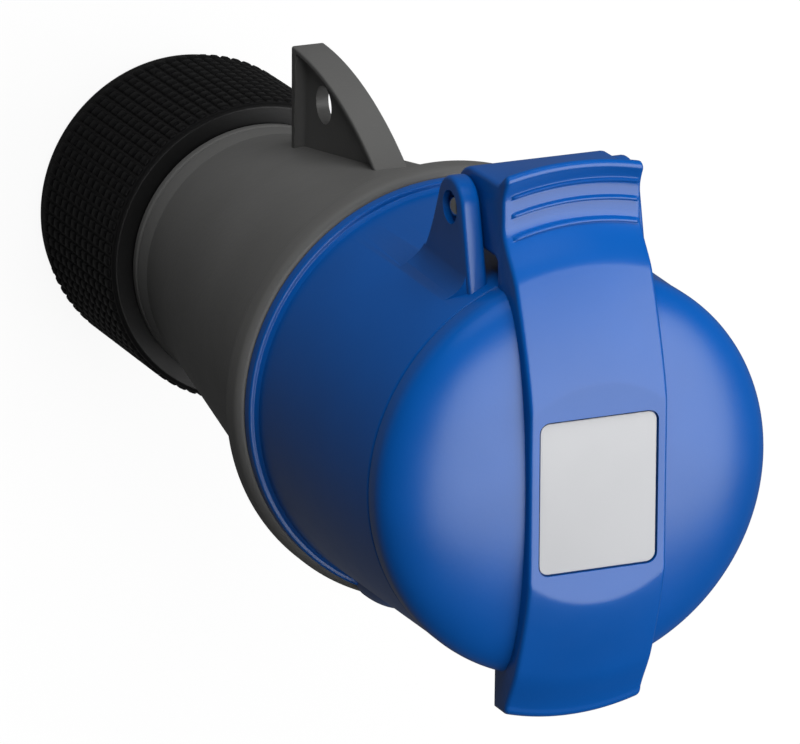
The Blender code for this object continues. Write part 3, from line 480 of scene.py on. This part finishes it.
def lever_height(radius, across):
    """The thumb lever's front: it falls on from the strap, levels to a rest and flares at its tip.

    The fall is a cubic that keeps the strap's slope at its start and is level at its end:
    p0 (2t^3 - 3t^2 + 1) + m0 (t^3 - 2t^2 + t) + p1 (3t^2 - 2t^3). The ridges are added to it.
    """
    strap = strap_height(np.minimum(radius, DIP_START))
    run = THUMB_START - DIP_START
    drop = FACE - strap_height(DIP_START)
    slope = -drop * STRAP_BOW / (DIP_START - FACET_RADIUS)
    dip = np.clip((radius - DIP_START) / run, 0, 1)
    kept_slope = slope * run * (dip**3 - 2 * dip**2 + dip)
    fall = (THUMB_DROP - drop) * (3 * dip**2 - 2 * dip**3) - kept_slope
    flare = np.clip((radius - THUMB_END) / (LEVER_REACH - THUMB_END), 0, 1)
    rise = (THUMB_DROP - LEVER_DROP) * flare**FLARE_POWER
    height = strap - fall + rise
    beside = bump(across - RIDGE_SHIFT, RIDGE_HALF, RIDGE_END)
    for ridge in RIDGES:
        off = radius - RIDGE_LEAN * across - ridge
        height = height + RIDGE_HEIGHT * bump(off, RIDGE_CREST, RIDGE_FLANK) * beside
    return height


def lever_tip(across):
    """The tip's closed round in (distance, height), from the front to the back.

    It is an arc that touches the flared front. Towards the tip's two corners the reach draws in
    by TIP_CORNER - root(TIP_CORNER^2 - d^2), where d is the distance into the corner.
    """
    into = np.clip(abs(across) - (STRAP_HALF - TIP_CORNER), 0, 0.98 * TIP_CORNER)
    tip = LEVER_REACH - TIP_CORNER + math.sqrt(TIP_CORNER**2 - into**2)
    lean = math.atan(FLARE_POWER * (THUMB_DROP - LEVER_DROP) / (LEVER_REACH - THUMB_END))
    start = tip - TIP_ROUND * (1 + math.sin(lean))
    height = lever_height(np.array(start), across) - TIP_ROUND * math.cos(lean)
    turn = np.linspace(np.pi / 2 + lean, -0.25, 12)
    distances = tip - TIP_ROUND + TIP_ROUND * np.cos(turn)
    return start, pairs(distances, height + TIP_ROUND * np.sin(turn))


def lever_outline(across):
    """The strap's closed outline in (y, z) at a place across it.

    Each point has a distance along the strap. It becomes y = root(distance^2 - share * x^2),
    so the lines across the strap are straight in the middle and circles about the coupler's
    axis towards both ends.
    """

    def bend(distance, height, share):
        distance = np.asarray(distance, float)
        side = np.sign(distance)
        y = side * np.sqrt(np.maximum(distance**2 - share * across**2, 0))
        return pairs(y, np.broadcast_to(height, y.shape))

    def share_of(distance):
        return smooth(np.abs(distance), BEND_START, BEND_END)

    tip_turn = np.linspace(0, np.pi / 2, 7)
    tab_end = TAB_REACH - TAB_TIP_ROUND
    tab_top = strap_height(tab_end) - TAB_TIP_DROP
    tab_side = tab_top - TAB_TIP_ROUND
    tab_rear = bend(np.full(3, -TAB_REACH), np.linspace(LID_REAR, tab_side, 3), 1.0)
    tab_tip = bend(
        -(tab_end + TAB_TIP_ROUND * np.cos(tip_turn[1:])),
        tab_side + TAB_TIP_ROUND * np.sin(tip_turn[1:]),
        1.0,
    )
    down = np.linspace(-tab_end + 0.4, 0, 90)
    tip_blend = TAB_TIP_DROP * smooth(-down, TAB_REACH - TAB_TIP_RUN, tab_end)
    lower = bend(down, strap_height(-down) - tip_blend, share_of(down))
    radius = np.hypot(across, lower[:, 0])
    flat = share_of(down) < 1
    lower[flat, 1] = strap_height(radius[flat]) - tip_blend[flat]
    tip_start, tip = lever_tip(across)
    fine = np.linspace(DIP_START - 0.3, tip_start, 165)[:-1]
    lean_on = smooth(fine, DIP_START, RIDGES[0] - RIDGE_MARGIN)
    lean_off = 1 - smooth(fine, RIDGES[-1] + RIDGE_MARGIN, tip_start)
    fine = fine + RIDGE_LEAN * across * lean_on * lean_off
    up = np.concatenate((np.linspace(0, DIP_START - 0.4, 88)[1:], fine))
    upper = bend(up, 0.0, share_of(up))
    upper[:, 1] = lever_height(np.hypot(across, upper[:, 0]), across)
    deck_front = math.hypot(PIN_Y + BARREL_RADIUS, STRAP_HALF)
    tip_back = bend(tip[:, 0], tip[:, 1], 1.0)
    steps = np.linspace(0, 1, 16)[1:]
    back = bend(
        np.linspace(tip[-1, 0], deck_front, 7)[1:], np.linspace(tip[-1, 1], LID_REAR, 7)[1:], 1.0
    )
    touch = math.radians(-5)
    touch_y = PIN_Y + BARREL_RADIUS * math.cos(touch)
    touch_z = PIN_Z + BARREL_RADIUS * math.sin(touch)
    deck_y = deck_front + (touch_y - deck_front) * steps
    deck = pairs(
        np.sqrt(deck_y**2 - (1 - steps) * across**2), LID_REAR + (touch_z - LID_REAR) * steps
    )
    turns = np.linspace(touch, -np.pi, 40)[1:]
    barrel = pairs(PIN_Y + BARREL_RADIUS * np.cos(turns), PIN_Z + BARREL_RADIUS * np.sin(turns))
    foot = LID_RADIUS + GAP
    barrel_low = PIN_Y - BARREL_RADIUS
    under_lever = np.array(((barrel_low, LID_REAR - 1.0), (barrel_low - 0.6, LID_REAR)))
    foot_high = bend((foot, LID_RADIUS - SINK), (LID_REAR, LID_REAR + SINK), 1.0)
    inner = np.linspace(LID_RADIUS - SINK, -(LID_RADIUS - SINK), 60)[1:-1]
    under = bend(inner, 0.0, share_of(inner))
    under[:, 1] = dome_height(np.hypot(across, under[:, 0]), SINK)
    foot_low = bend((-(LID_RADIUS - SINK), -foot), (LID_REAR + SINK, LID_REAR), 1.0)
    front = (tab_rear, tab_tip, lower, upper, tip_back)
    rear = (back, deck, barrel, under_lever, foot_high, under, foot_low)
    return np.concatenate(front + rear)


def lid_shell():
    """The domed shell with its gasket step."""
    turn = np.radians(np.linspace(0, 90, 40))
    outer = pairs(LID_RADIUS * np.sin(turn), DOME_BASE + DOME_RISE * np.cos(turn))
    rim_bore = GASKET_REACH + GAP
    step = GASKET_TOP + GAP
    inner_reach = GASKET_REACH - GASKET_WIDTH - GAP
    inner_rise = DOME_BASE + DOME_RISE - LID_WALL - CROWN_DROP - step
    inner = pairs(inner_reach * np.sin(turn[::-1]), step + inner_rise * np.cos(turn[::-1]))
    rim = rounded(
        [
            (LID_RADIUS, DOME_BASE - 0.5, 0),
            (LID_RADIUS, LID_REAR, 0.35),
            (rim_bore, LID_REAR, 0.25),
            (rim_bore, step, 0),
        ],
        steps=4,
    )
    return turned("lid_shell", np.concatenate((outer, rim[1:-1], [(rim_bore, step)], inner)))


def make_lid():
    """The blue lid: shell, strap, lever and hinge barrel in one moulding."""
    lid = lid_shell()
    strap = slab("strap", lever_outline, -STRAP_HALF, STRAP_HALF, STRAP_EDGE_ROUND, stations=61)
    carve(lid, [strap], "UNION")
    recess = rounded_box_outline(LABEL_LOW[:2] - GAP, LABEL_HIGH[:2] + GAP, LABEL_CORNER + GAP)
    label_recess = slab("label_recess", recess, LABEL_LOW[2] - GAP, FACE + 2, across="Z")
    wall = STRAP_HALF - LID_WALL
    room_low = PIN_Y - BARREL_RADIUS - 1
    hollow_outline = rounded_box_outline(
        (room_low, PIN_Z + BARREL_RADIUS / 2),
        (PIN_Y + PIN_RADIUS, FACE - THUMB_DROP - LID_WALL),
        0.6,
    )
    hollow = slab("hollow", hollow_outline, -wall, wall)
    room = BARREL_RADIUS - BARREL_WALL
    pocket = cylinder_across("pocket", room, SPRING_HALF)
    door_outline = rounded_box_outline(
        (room_low, PIN_Z - room + 0.01), (PIN_Y - PIN_RADIUS / 3, PIN_Z + BARREL_RADIUS), 0.2
    )
    door = slab("door", door_outline, -SPRING_HALF + 0.01, SPRING_HALF - 0.01)
    turn = np.radians(np.linspace(*LEG_SWEEP, 26))
    arc = pairs(np.cos(turn), np.sin(turn))
    sweep = np.concatenate(((BARREL_RADIUS + 1) * arc, (room - 0.2) * arc[::-1])) + (PIN_Y, PIN_Z)
    leg_room = slab("leg_room", sweep, -SPRING_HALF + 0.02, SPRING_HALF - 0.02)
    bore = cylinder_across("bore", PIN_RADIUS + GAP, STRAP_HALF + 1)
    carve(lid, [label_recess, hollow, pocket, door, leg_room, bore])
    lid.name = "lid_moulding"
    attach(lid, "sprung_lid")
    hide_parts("lid")
    dress(lid, BLUE)


def cylinder_across(name, radius, half):
    """A round bar along X on the hinge's axis."""
    return slab(name, circle(PIN_Y, PIN_Z, radius), -half, half)


def make_label():
    """The blank label plate, with a hair-fine round edge."""
    outline = rounded_box_outline(LABEL_LOW[:2], LABEL_HIGH[:2], LABEL_CORNER)
    plate = slab(
        "label_blank",
        outline,
        LABEL_LOW[2],
        LABEL_HIGH[2],
        LABEL_EDGE,
        "sprung_lid",
        "label_plate",
        across="Z",
    )
    dress(plate, LABEL)


# Housings


def cone_radius(height):
    """The rear housing's cone, a straight line between its two measured ends."""
    share = (height - CONE_REAR) / (FLARE_FOOT - CONE_REAR)
    return CONE_REAR_RADIUS + share * (CONE_FRONT_RADIUS - CONE_REAR_RADIUS)


def make_rear_housing():
    """The grey grip: flange, flare, cone, groove and bead, and inside it the tapered bore."""
    foot_radius = cone_radius(FLARE_FOOT)
    flare_rise = FLANGE_RADIUS - FLANGE_STEP - foot_radius
    flare = [
        (foot_radius + flare_rise * share**2.2, FLARE_FOOT + (FLANGE_REAR - FLARE_FOOT) * share, 0)
        for share in np.linspace(1, 0, 14)
    ]
    inner = cone_radius(MOUTH_FLOOR - 2) - GRIP_WALL
    corners = [
        (MOUTH_RADIUS, HOUSING_FRONT, 0.3),
        (FLANGE_RADIUS, HOUSING_FRONT, 1.6),
        (FLANGE_RADIUS, FLANGE_REAR, 0.9),
        *flare,
        (24.40, HOUSING_REAR + 6.6, 0.6),
        (24.85, HOUSING_REAR + 3.1, 0.5),
        (24.10, HOUSING_REAR + 2.7, 0.15),
        (24.00, HOUSING_REAR + 2.3, 0.15),
        (24.70, HOUSING_REAR + 1.9, 0.4),
        (24.70, HOUSING_REAR, 0.7),
        (NECK_RADIUS, HOUSING_REAR, 0.2),
        (NECK_RADIUS, NECK_END, 0.8),
        (SEAT_RADIUS, NECK_END, 0.3),
        (THROAT_RADIUS, NECK_END + 15, 0.5),
        (THROAT_RADIUS, HOUSING_REAR + 8.4, 2.0),
        (cone_radius(HOUSING_REAR + 12.4) - GRIP_WALL, HOUSING_REAR + 12.4, 2.0),
        (inner, MOUTH_FLOOR - 2, 0.3),
        (inner, MOUTH_FLOOR, 0.2),
        (MOUTH_RADIUS, MOUTH_FLOOR, 0.2),
    ]
    grip = turned("rear_grip", rounded(corners), "housing", "rear_housing")
    dress(grip, GREY)


def make_lug():
    """The hanging lug: a plate bounded by an arc, with a recessed web on both sides and a hole."""
    front = LUG_REAR + LUG_FOOT_LENGTH
    top = np.array((LUG_REACH, LUG_REAR))
    foot = np.array((cone_radius(front) - GAP, front))
    chord = foot - top
    sideways = np.array((-chord[1], chord[0])) / np.linalg.norm(chord)
    centre = (top + foot) / 2 + sideways * math.sqrt(LUG_CURVE**2 - (chord @ chord) / 4)
    ends = [math.atan2(*(point - centre)[::-1]) for point in (top, foot)]

    def arc(drop, steps):
        turn = np.linspace(*ends, steps)
        return centre + (LUG_CURVE - drop) * pairs(np.cos(turn), np.sin(turn))

    sunk = 1.4
    outline = rounded(
        [(*point, 0.5 if index == 0 else 0) for index, point in enumerate(arc(0, 30))]
        + [(cone_radius(front) - sunk, front, 0), (cone_radius(LUG_REAR) - sunk, LUG_REAR, 0)]
    )
    lug = slab("hanging_lug", outline, -LUG_HALF, LUG_HALF, 0.35)
    web_rear = LUG_REAR + LUG_REAR_BORDER
    inner = [
        point
        for point in arc(LUG_ARC_BORDER, 60)
        if point[1] > web_rear + 0.4 and point[0] > cone_radius(point[1]) - 1.0
    ]
    last = inner[-1]
    pocket = rounded(
        [(*point, 0) for point in inner]
        + [(last[0] - 2.0, last[1] + 0.2, 0), (cone_radius(LUG_REAR) - 4.0, web_rear, 0)]
    )
    hole = circle(LUG_REACH - LUG_HOLE_DROP, LUG_REAR + LUG_HOLE_INSET, LUG_HOLE_RADIUS)
    outside = LUG_HALF + 3
    carve(
        lug,
        [
            slab("lug_pocket_left", pocket, -outside, -LUG_WEB_HALF, LUG_POCKET_ROUND),
            slab("lug_pocket_right", pocket, LUG_WEB_HALF, outside, LUG_POCKET_ROUND),
            slab("lug_hole", hole, -LUG_HALF - 1, LUG_HALF + 1),
        ],
    )
    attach(lug, "housing")
    dress(lug, GREY)


def tangent_turn(point, centre, radius, side):
    """The angle at which a line from the point touches the circle."""
    away = math.atan2(point[1] - centre[1], point[0] - centre[0])
    return away + side * math.acos(radius / math.dist(point, centre))


def ear_outline(top=None, setback=0.0):
    """The hinge ear in (y, z): an arc round the pin, a straight front flank and a rear flank
    that flares to its foot along a parabola. With a top, only the part of it below that y, with
    its front flank set back.
    """
    pin = np.array((PIN_Y, PIN_Z))
    front_foot = (EAR_FOOT_Y, EAR_FRONT)
    rear_foot = np.array((EAR_SPREAD_Y, EAR_REAR))
    flared_foot = rear_foot - (0, EAR_FLARE)
    front_turn = tangent_turn(front_foot, pin, EAR_RADIUS, -1)
    rear_turn = tangent_turn(rear_foot, pin, EAR_RADIUS, 1)
    turn = np.linspace(front_turn, rear_turn, 40)
    head = pin + EAR_RADIUS * pairs(np.cos(turn), np.sin(turn))
    share = np.linspace(0, 1, 17)[1:, None]
    flank = head[-1] * (1 - share) ** 2 + rear_foot * 2 * share * (1 - share)
    flank = flank + flared_foot * share**2
    if top is None:
        return np.concatenate(([front_foot], head, flank, [(EAR_FOOT_Y, flared_foot[1])]))
    rise = np.linspace(min(top, head[-1, 0]), EAR_SPREAD_Y, 17)
    along = np.concatenate((head[-1:], flank))[::-1]
    flank = pairs(rise, np.interp(rise, along[:, 0], along[:, 1]) + FILLET_INSET)
    front_z = np.interp(top, (EAR_FOOT_Y, head[0, 0]), (front_foot[1], head[0, 1]))
    front = [(EAR_FOOT_Y, front_foot[1] - setback), (top, front_z - setback)]
    return np.concatenate((front, flank, [(EAR_FOOT_Y, flared_foot[1] + FILLET_INSET)]))


def ear_fillet(side):
    """The round that leads from an ear's outer side down to the shroud.

    At a distance d from the ear's side it stands R - root(R^2 - (R - d)^2) above the shroud,
    whose radius grows evenly from the rim back to the ring.
    """
    low, high = sorted((side * (EAR_OUTER - 1.0), side * (EAR_OUTER + 0.92 * EAR_FILLET)))
    level = math.sqrt(FILLET_LEVEL**2 - EAR_OUTER**2)
    growth = (SHROUD_REAR_RADIUS - SHROUD_FRONT_RADIUS) / (RIM - RING_FRONT - 0.8)

    def outline(place):
        off = np.clip(abs(place) - EAR_OUTER, 0, EAR_FILLET)
        rise = EAR_FILLET - math.sqrt(EAR_FILLET**2 - (EAR_FILLET - off) ** 2)
        points = ear_outline(level + rise, 0.9 + off)
        radius = SHROUD_FRONT_RADIUS + growth * (RIM - points[:, 1])
        points[:, 0] += np.sqrt(radius**2 - place**2) - level - 0.02
        return points

    return slab(f"ear_fillet_{side}", outline, low, high, stations=24)


def turned_about_axis(obj, degrees):
    """The object's mesh turned about the coupler's axis."""
    centre = Vector((0.0, AXIS_Y * MM, 0.0))
    turn = Matrix.Rotation(math.radians(degrees), 4, "Z")
    obj.data.transform(Matrix.Translation(centre) @ turn @ Matrix.Translation(-centre))
    return obj


def locking_boss():
    """The low boss in front of the ring: a quarter ellipse along the axis, and half of one across.

    At a place x across, its rise is root(1 - (x / half width)^2) of the full rise.
    """
    turn = np.linspace(0, np.pi / 2, 24)
    rear = RING_FRONT - 0.5
    front = rear + BOSS_LENGTH
    buried = BOSS_FOOT - 1.2

    def outline(place):
        rise = (BOSS_REACH - BOSS_FOOT) * math.sqrt(1 - (place / (BOSS_WIDTH / 2)) ** 2)
        crest = pairs(BOSS_FOOT + rise * np.cos(turn), rear + BOSS_LENGTH * np.sin(turn))
        return np.concatenate((crest, [(buried, front), (buried, rear)]))

    half = 0.48 * BOSS_WIDTH
    lens = slab("locking_boss", outline, -half, half, stations=25)
    return turned_about_axis(lens, BOSS_ANGLE - 90)


def make_front_housing():
    """The blue shroud with its ring, spigot, key-way and hinge ears."""
    spigot_end = reach("front_housing")[0][2]
    plate_rear = reach("carrier_back_plate")[0][2]
    corners = [
        (SHROUD_BORE, RIM, 0.4),
        (SHROUD_FRONT_RADIUS, RIM, 0.7),
        (SHROUD_REAR_RADIUS, RING_FRONT + 0.8, 0.6),
        (37.15, RING_FRONT, 0.25),
        (RING_RADIUS, RING_FRONT, 0.9),
        (RING_RADIUS, RING_REAR, 0.15),
        (SPIGOT_RADIUS, RING_REAR, 0),
        (SPIGOT_RADIUS, spigot_end, 0.6),
        (SPIGOT_BORE, spigot_end, 0.3),
        (SPIGOT_BORE, plate_rear - 2.3, 0),
        (CATCH_BORE, plate_rear - 1.5, 0.1),
        (CATCH_BORE, plate_rear - GAP, 0.1),
        (SPIGOT_BORE, plate_rear - GAP, 0),
        (SPIGOT_BORE, WEB_FRONT - 3.3, 0),
        (WEB_BORE, WEB_FRONT - 3.3, 0.2),
        (WEB_BORE, WEB_FRONT, 0.3),
        (SHROUD_BORE, WEB_FRONT, 0.5),
    ]
    shroud = turned("front_shroud", rounded(corners))
    bulge_half = KEY_HALF + KEY_WALL
    bulge_reach = KEY_REACH + KEY_WALL
    sunk = SHROUD_BORE + 0.8
    bulge_outline = rounded(
        [
            (-bulge_half - 1.6, -sunk, 0),
            (-bulge_half + 0.6, -bulge_reach + 0.4, 1.8),
            (0, -bulge_reach - 0.1, 30),
            (bulge_half - 0.6, -bulge_reach + 0.4, 1.8),
            (bulge_half + 1.6, -sunk, 0),
        ]
    )
    bulge = slab("bulge", bulge_outline, RING_FRONT - 0.5, RIM, 0.35, across="Z")
    ear_inner = STRAP_HALF + GAP
    ears = [
        slab(f"ear_{side}", ear_outline(), *sorted((side * ear_inner, side * EAR_OUTER)), EAR_EDGE)
        for side in (-1, 1)
    ]
    fillets = [ear_fillet(side) for side in (-1, 1)]
    carve(shroud, [bulge, *ears, *fillets, locking_boss()], "UNION")
    slot_outline = rounded_box_outline((-KEY_HALF, -KEY_REACH), (KEY_HALF, -20), 0.5)
    slot = slab("key_slot", slot_outline, WEB_FRONT + 0.3, RIM + 1, across="Z")
    recess = circle(PIN_Y, PIN_Z, PIN_RECESS_RADIUS)
    recess_floor = EAR_OUTER - PIN_RECESS_DEPTH
    recesses = [
        slab(f"recess_{side}", recess, *sorted((side * recess_floor, side * (EAR_OUTER + 1))))
        for side in (-1, 1)
    ]
    bore = cylinder_across("ear_bore", PIN_RADIUS + 0.1, EAR_OUTER + 2)
    carve(shroud, [slot, *recesses, bore])
    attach(shroud, "housing")
    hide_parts("front_housing")
    dress(shroud, BLUE)


def make_pin():
    """The hinge pin, with domed bright ends."""
    outline = circle(PIN_Y, PIN_Z, PIN_RADIUS)
    ends = PIN_LOW[0], PIN_HIGH[0]
    pin = slab("hinge_axle", outline, *ends, PIN_DOME, "housing", "hinge_pin")
    dress(pin, STEEL)


# Gland nut


def spread(count, shares):
    """Places over count equal cells, at the same shares of each cell."""
    return (np.arange(count)[:, None] + np.asarray(shares)[None, :]).ravel() / count


def make_nut():
    """The black gland nut, with a knurl of small square pads.

    The radius grows by the pad's height where both the angle and the height lie on a pad. The
    pads fill NUT_RIBS cells round the nut and KNURL_ROWS rows along it.
    """
    shares = (0.0, 0.11, 0.19, 0.27, 0.5, 0.73, 0.81, 0.89)
    angles = 2 * np.pi * spread(NUT_RIBS, shares)
    knurl_front = NUT_FRONT - 1.3
    run = knurl_front - KNURL_REAR
    knurl = KNURL_REAR + run * np.append(spread(KNURL_ROWS, shares), 1.0)

    def on_pad(share):
        return smooth(0.5 - np.abs(share % 1 - 0.5), PAD_FOOT, PAD_TOP)

    floor, hole, bore = 3.2, 13.0, 22.1
    rear_radius = NUT_BASE_RADIUS - 0.3
    ends = rounded(
        [
            (NUT_BASE_RADIUS, knurl_front, 0),
            (NUT_BASE_RADIUS + 0.1, NUT_FRONT - 0.5, 0.6),
            (27.6, NUT_FRONT, 0.5),
            (25.0, NUT_FRONT, 0.3),
            (bore, NUT_FRONT, 0.4),
            (bore, floor, 0.3),
            (hole, floor, 0.3),
            (hole, 0, 0.8),
            (rear_radius, 0, 3.8),
            (rear_radius, KNURL_REAR - 0.2, 0),
        ]
    )
    outer = pairs(np.full(len(knurl), NUT_BASE_RADIUS), knurl)
    profile = np.concatenate((outer, ends[1:]))
    profile = np.vstack((profile, profile[:1]))
    row_share = np.clip((profile[:, 1] - KNURL_REAR) / run, 0, 1) * KNURL_ROWS
    on_knurl = np.zeros(len(profile))
    on_knurl[: len(outer)] = 1
    on_knurl[-1] = 1
    along = (PAD_HEIGHT * on_pad(row_share) * on_knurl)[:, None]
    radius = profile[:, :1] + along * on_pad(angles * NUT_RIBS / (2 * np.pi))[None, :]
    height = profile[:, 1:] + np.zeros_like(radius)
    points = np.stack((radius * np.cos(angles), radius * np.sin(angles), height), axis=-1)
    faces = grid_faces(len(profile), len(angles))
    nut = finish_mesh("knurled_nut", points.reshape(-1, 3), faces, "nut", "gland_nut", sharp=50)
    dress(nut, BLACK)


# Inner pieces that stay as the frame has them


def dress_frame_nodes():
    """Finishes for the frame's own nodes that stay in view."""
    finishes = {"carrier_plastic": CARRIER, "brass": BRASS, "steel": STEEL, "rubber": RUBBER}
    for part in frame["record"]["subparts"]:
        finish = finishes.get(part["material_slot"])
        node = frame["nodes"][part["node"]]
        if finish and not node.hide_render:
            node.data.materials.clear()
            node.data.materials.append(finish)


# Camera, lights and floor

CAMERA_TURN = math.radians(23.49)
CAMERA_RISE = math.radians(17.79)
CAMERA_ROLL = math.radians(0.23)
CAMERA_DISTANCE = 1355.0
AIM_RIGHT = 33.28
AIM_UP = -20.36
AIM_FACE = 189.0
LENS = 364.85
SENSOR = 36.0
GLOSS_SHARE = 0.025
SKY_LIGHT = 0.045
FLOOR_TONE = 0.07
FLOOR_WHITE = 0.92
FLOOR_HALF = 4.0


def camera_axes():
    """The photograph's right, up and forward directions, for a coupler that stands on its nut."""
    right = np.array((math.cos(CAMERA_TURN), 0, math.sin(CAMERA_TURN)))
    up = np.array(
        (
            math.sin(CAMERA_TURN) * math.sin(CAMERA_RISE),
            math.cos(CAMERA_RISE),
            -math.cos(CAMERA_TURN) * math.sin(CAMERA_RISE),
        )
    )
    forward = np.cross(up, right)
    rolled_right = math.cos(CAMERA_ROLL) * right + math.sin(CAMERA_ROLL) * up
    rolled_up = math.cos(CAMERA_ROLL) * up - math.sin(CAMERA_ROLL) * right
    return rolled_right, rolled_up, forward


def aim(obj, right, up, backward, place):
    """Sets an object's axes and its place in mm from the frame's origin."""
    columns = [Vector(axis) for axis in (right, up, backward)]
    turn = Matrix(columns).transposed().to_4x4()
    obj.matrix_world = Matrix.Translation(Vector(place) * MM) @ turn


def make_camera():
    """The photograph's camera: it looks past the lid's face by AIM_RIGHT and AIM_UP."""
    right, up, forward = camera_axes()
    seen = np.array((0, AXIS_Y, AIM_FACE)) - AIM_RIGHT * right - AIM_UP * up
    place = seen - CAMERA_DISTANCE * forward
    data = bpy.data.cameras.new("photo_camera")
    data.sensor_width = SENSOR
    data.lens = LENS
    data.clip_start = 0.05
    data.clip_end = 20
    camera = bpy.data.objects.new("photo_camera", data)
    bpy.context.scene.collection.objects.link(camera)
    aim(camera, right, up, -forward, place)
    bpy.context.scene.camera = camera


def make_lamp(name, place, target, size, power, mirrored=True):
    """A soft rectangular lamp at a place in mm from the coupler's axis, long side along its own x.

    One that isn't mirrored lights the coupler without showing in its sheen.
    """
    place, target = np.array(place, float), np.array(target, float)
    backward = place - target
    backward /= np.linalg.norm(backward)
    side = np.cross((0.0, 1.0, 0.0) if abs(backward[1]) < 0.8 else (0.0, 0.0, 1.0), backward)
    side /= np.linalg.norm(side)
    data = bpy.data.lights.new(name, "AREA")
    data.shape = "RECTANGLE"
    data.size, data.size_y = size
    data.energy = power
    lamp = bpy.data.objects.new(name, data)
    bpy.context.scene.collection.objects.link(lamp)
    lamp.visible_glossy = mirrored
    aim(lamp, side, np.cross(backward, side), backward, place + (0, AXIS_Y, 0))


def seen_share(tree, diffuse_share=0.0):
    """One for camera and transmission rays, GLOSS_SHARE for glossy rays and the given share for
    diffuse rays.

    The photograph was taken in dark surroundings, so glossy rays see only a share of the white.
    """
    path = tree.nodes.new("ShaderNodeLightPath")
    camera, glossy, diffuse, through = (
        Value(tree, path.outputs[name])
        for name in ("Is Camera Ray", "Is Glossy Ray", "Is Diffuse Ray", "Is Transmission Ray")
    )
    seen = camera.maths("MAXIMUM", camera, through)
    return seen.maths("MAXIMUM", seen, glossy * GLOSS_SHARE + diffuse * diffuse_share)


def make_stage():
    """A pale floor that reads as white but keeps the coupler's shadow, and a plain sky."""
    world = bpy.data.worlds.new("plain_sky")
    world.use_nodes = True
    bpy.context.scene.world = world
    background = world.node_tree.nodes["Background"]
    background.inputs["Color"].default_value = (1, 1, 1, 1)
    strength = seen_share(world.node_tree, SKY_LIGHT)
    world.node_tree.links.new(strength.socket, background.inputs["Strength"])
    mesh = bpy.data.meshes.new("floor")
    corners = [(x * FLOOR_HALF, y * FLOOR_HALF, 0) for x, y in ((-1, -1), (1, -1), (1, 1), (-1, 1))]
    mesh.from_pydata(corners, [], [(0, 1, 2, 3)])
    floor = bpy.data.objects.new("floor", mesh)
    bpy.context.scene.collection.objects.link(floor)
    paint = bpy.data.materials.new("floor_paint")
    paint.use_nodes = True
    tree = paint.node_tree
    shader = tree.nodes["Principled BSDF"]
    shader.inputs["Base Color"].default_value = (FLOOR_TONE, FLOOR_TONE, FLOOR_TONE, 1)
    shader.inputs["Roughness"].default_value = 0.9
    shader.inputs["Specular IOR Level"].default_value = 0.0
    shader.inputs["Emission Color"].default_value = (1, 1, 1, 1)
    tree.links.new((seen_share(tree) * FLOOR_WHITE).socket, shader.inputs["Emission Strength"])
    mesh.materials.append(paint)


make_camera()
make_stage()
make_lamp("overhead_softbox", (370, -20, 1100), (0, 0, 150), (1.7, 1.1), 19.5)
make_lamp("back_softbox", (-60, 930, 500), (0, 0, 110), (0.9, 0.5), 10, mirrored=False)
make_lid()
make_label()
make_rear_housing()
make_lug()
make_front_housing()
make_pin()
make_nut()
dress_frame_nodes()

bpy.context.scene.view_settings.view_transform = "Standard"
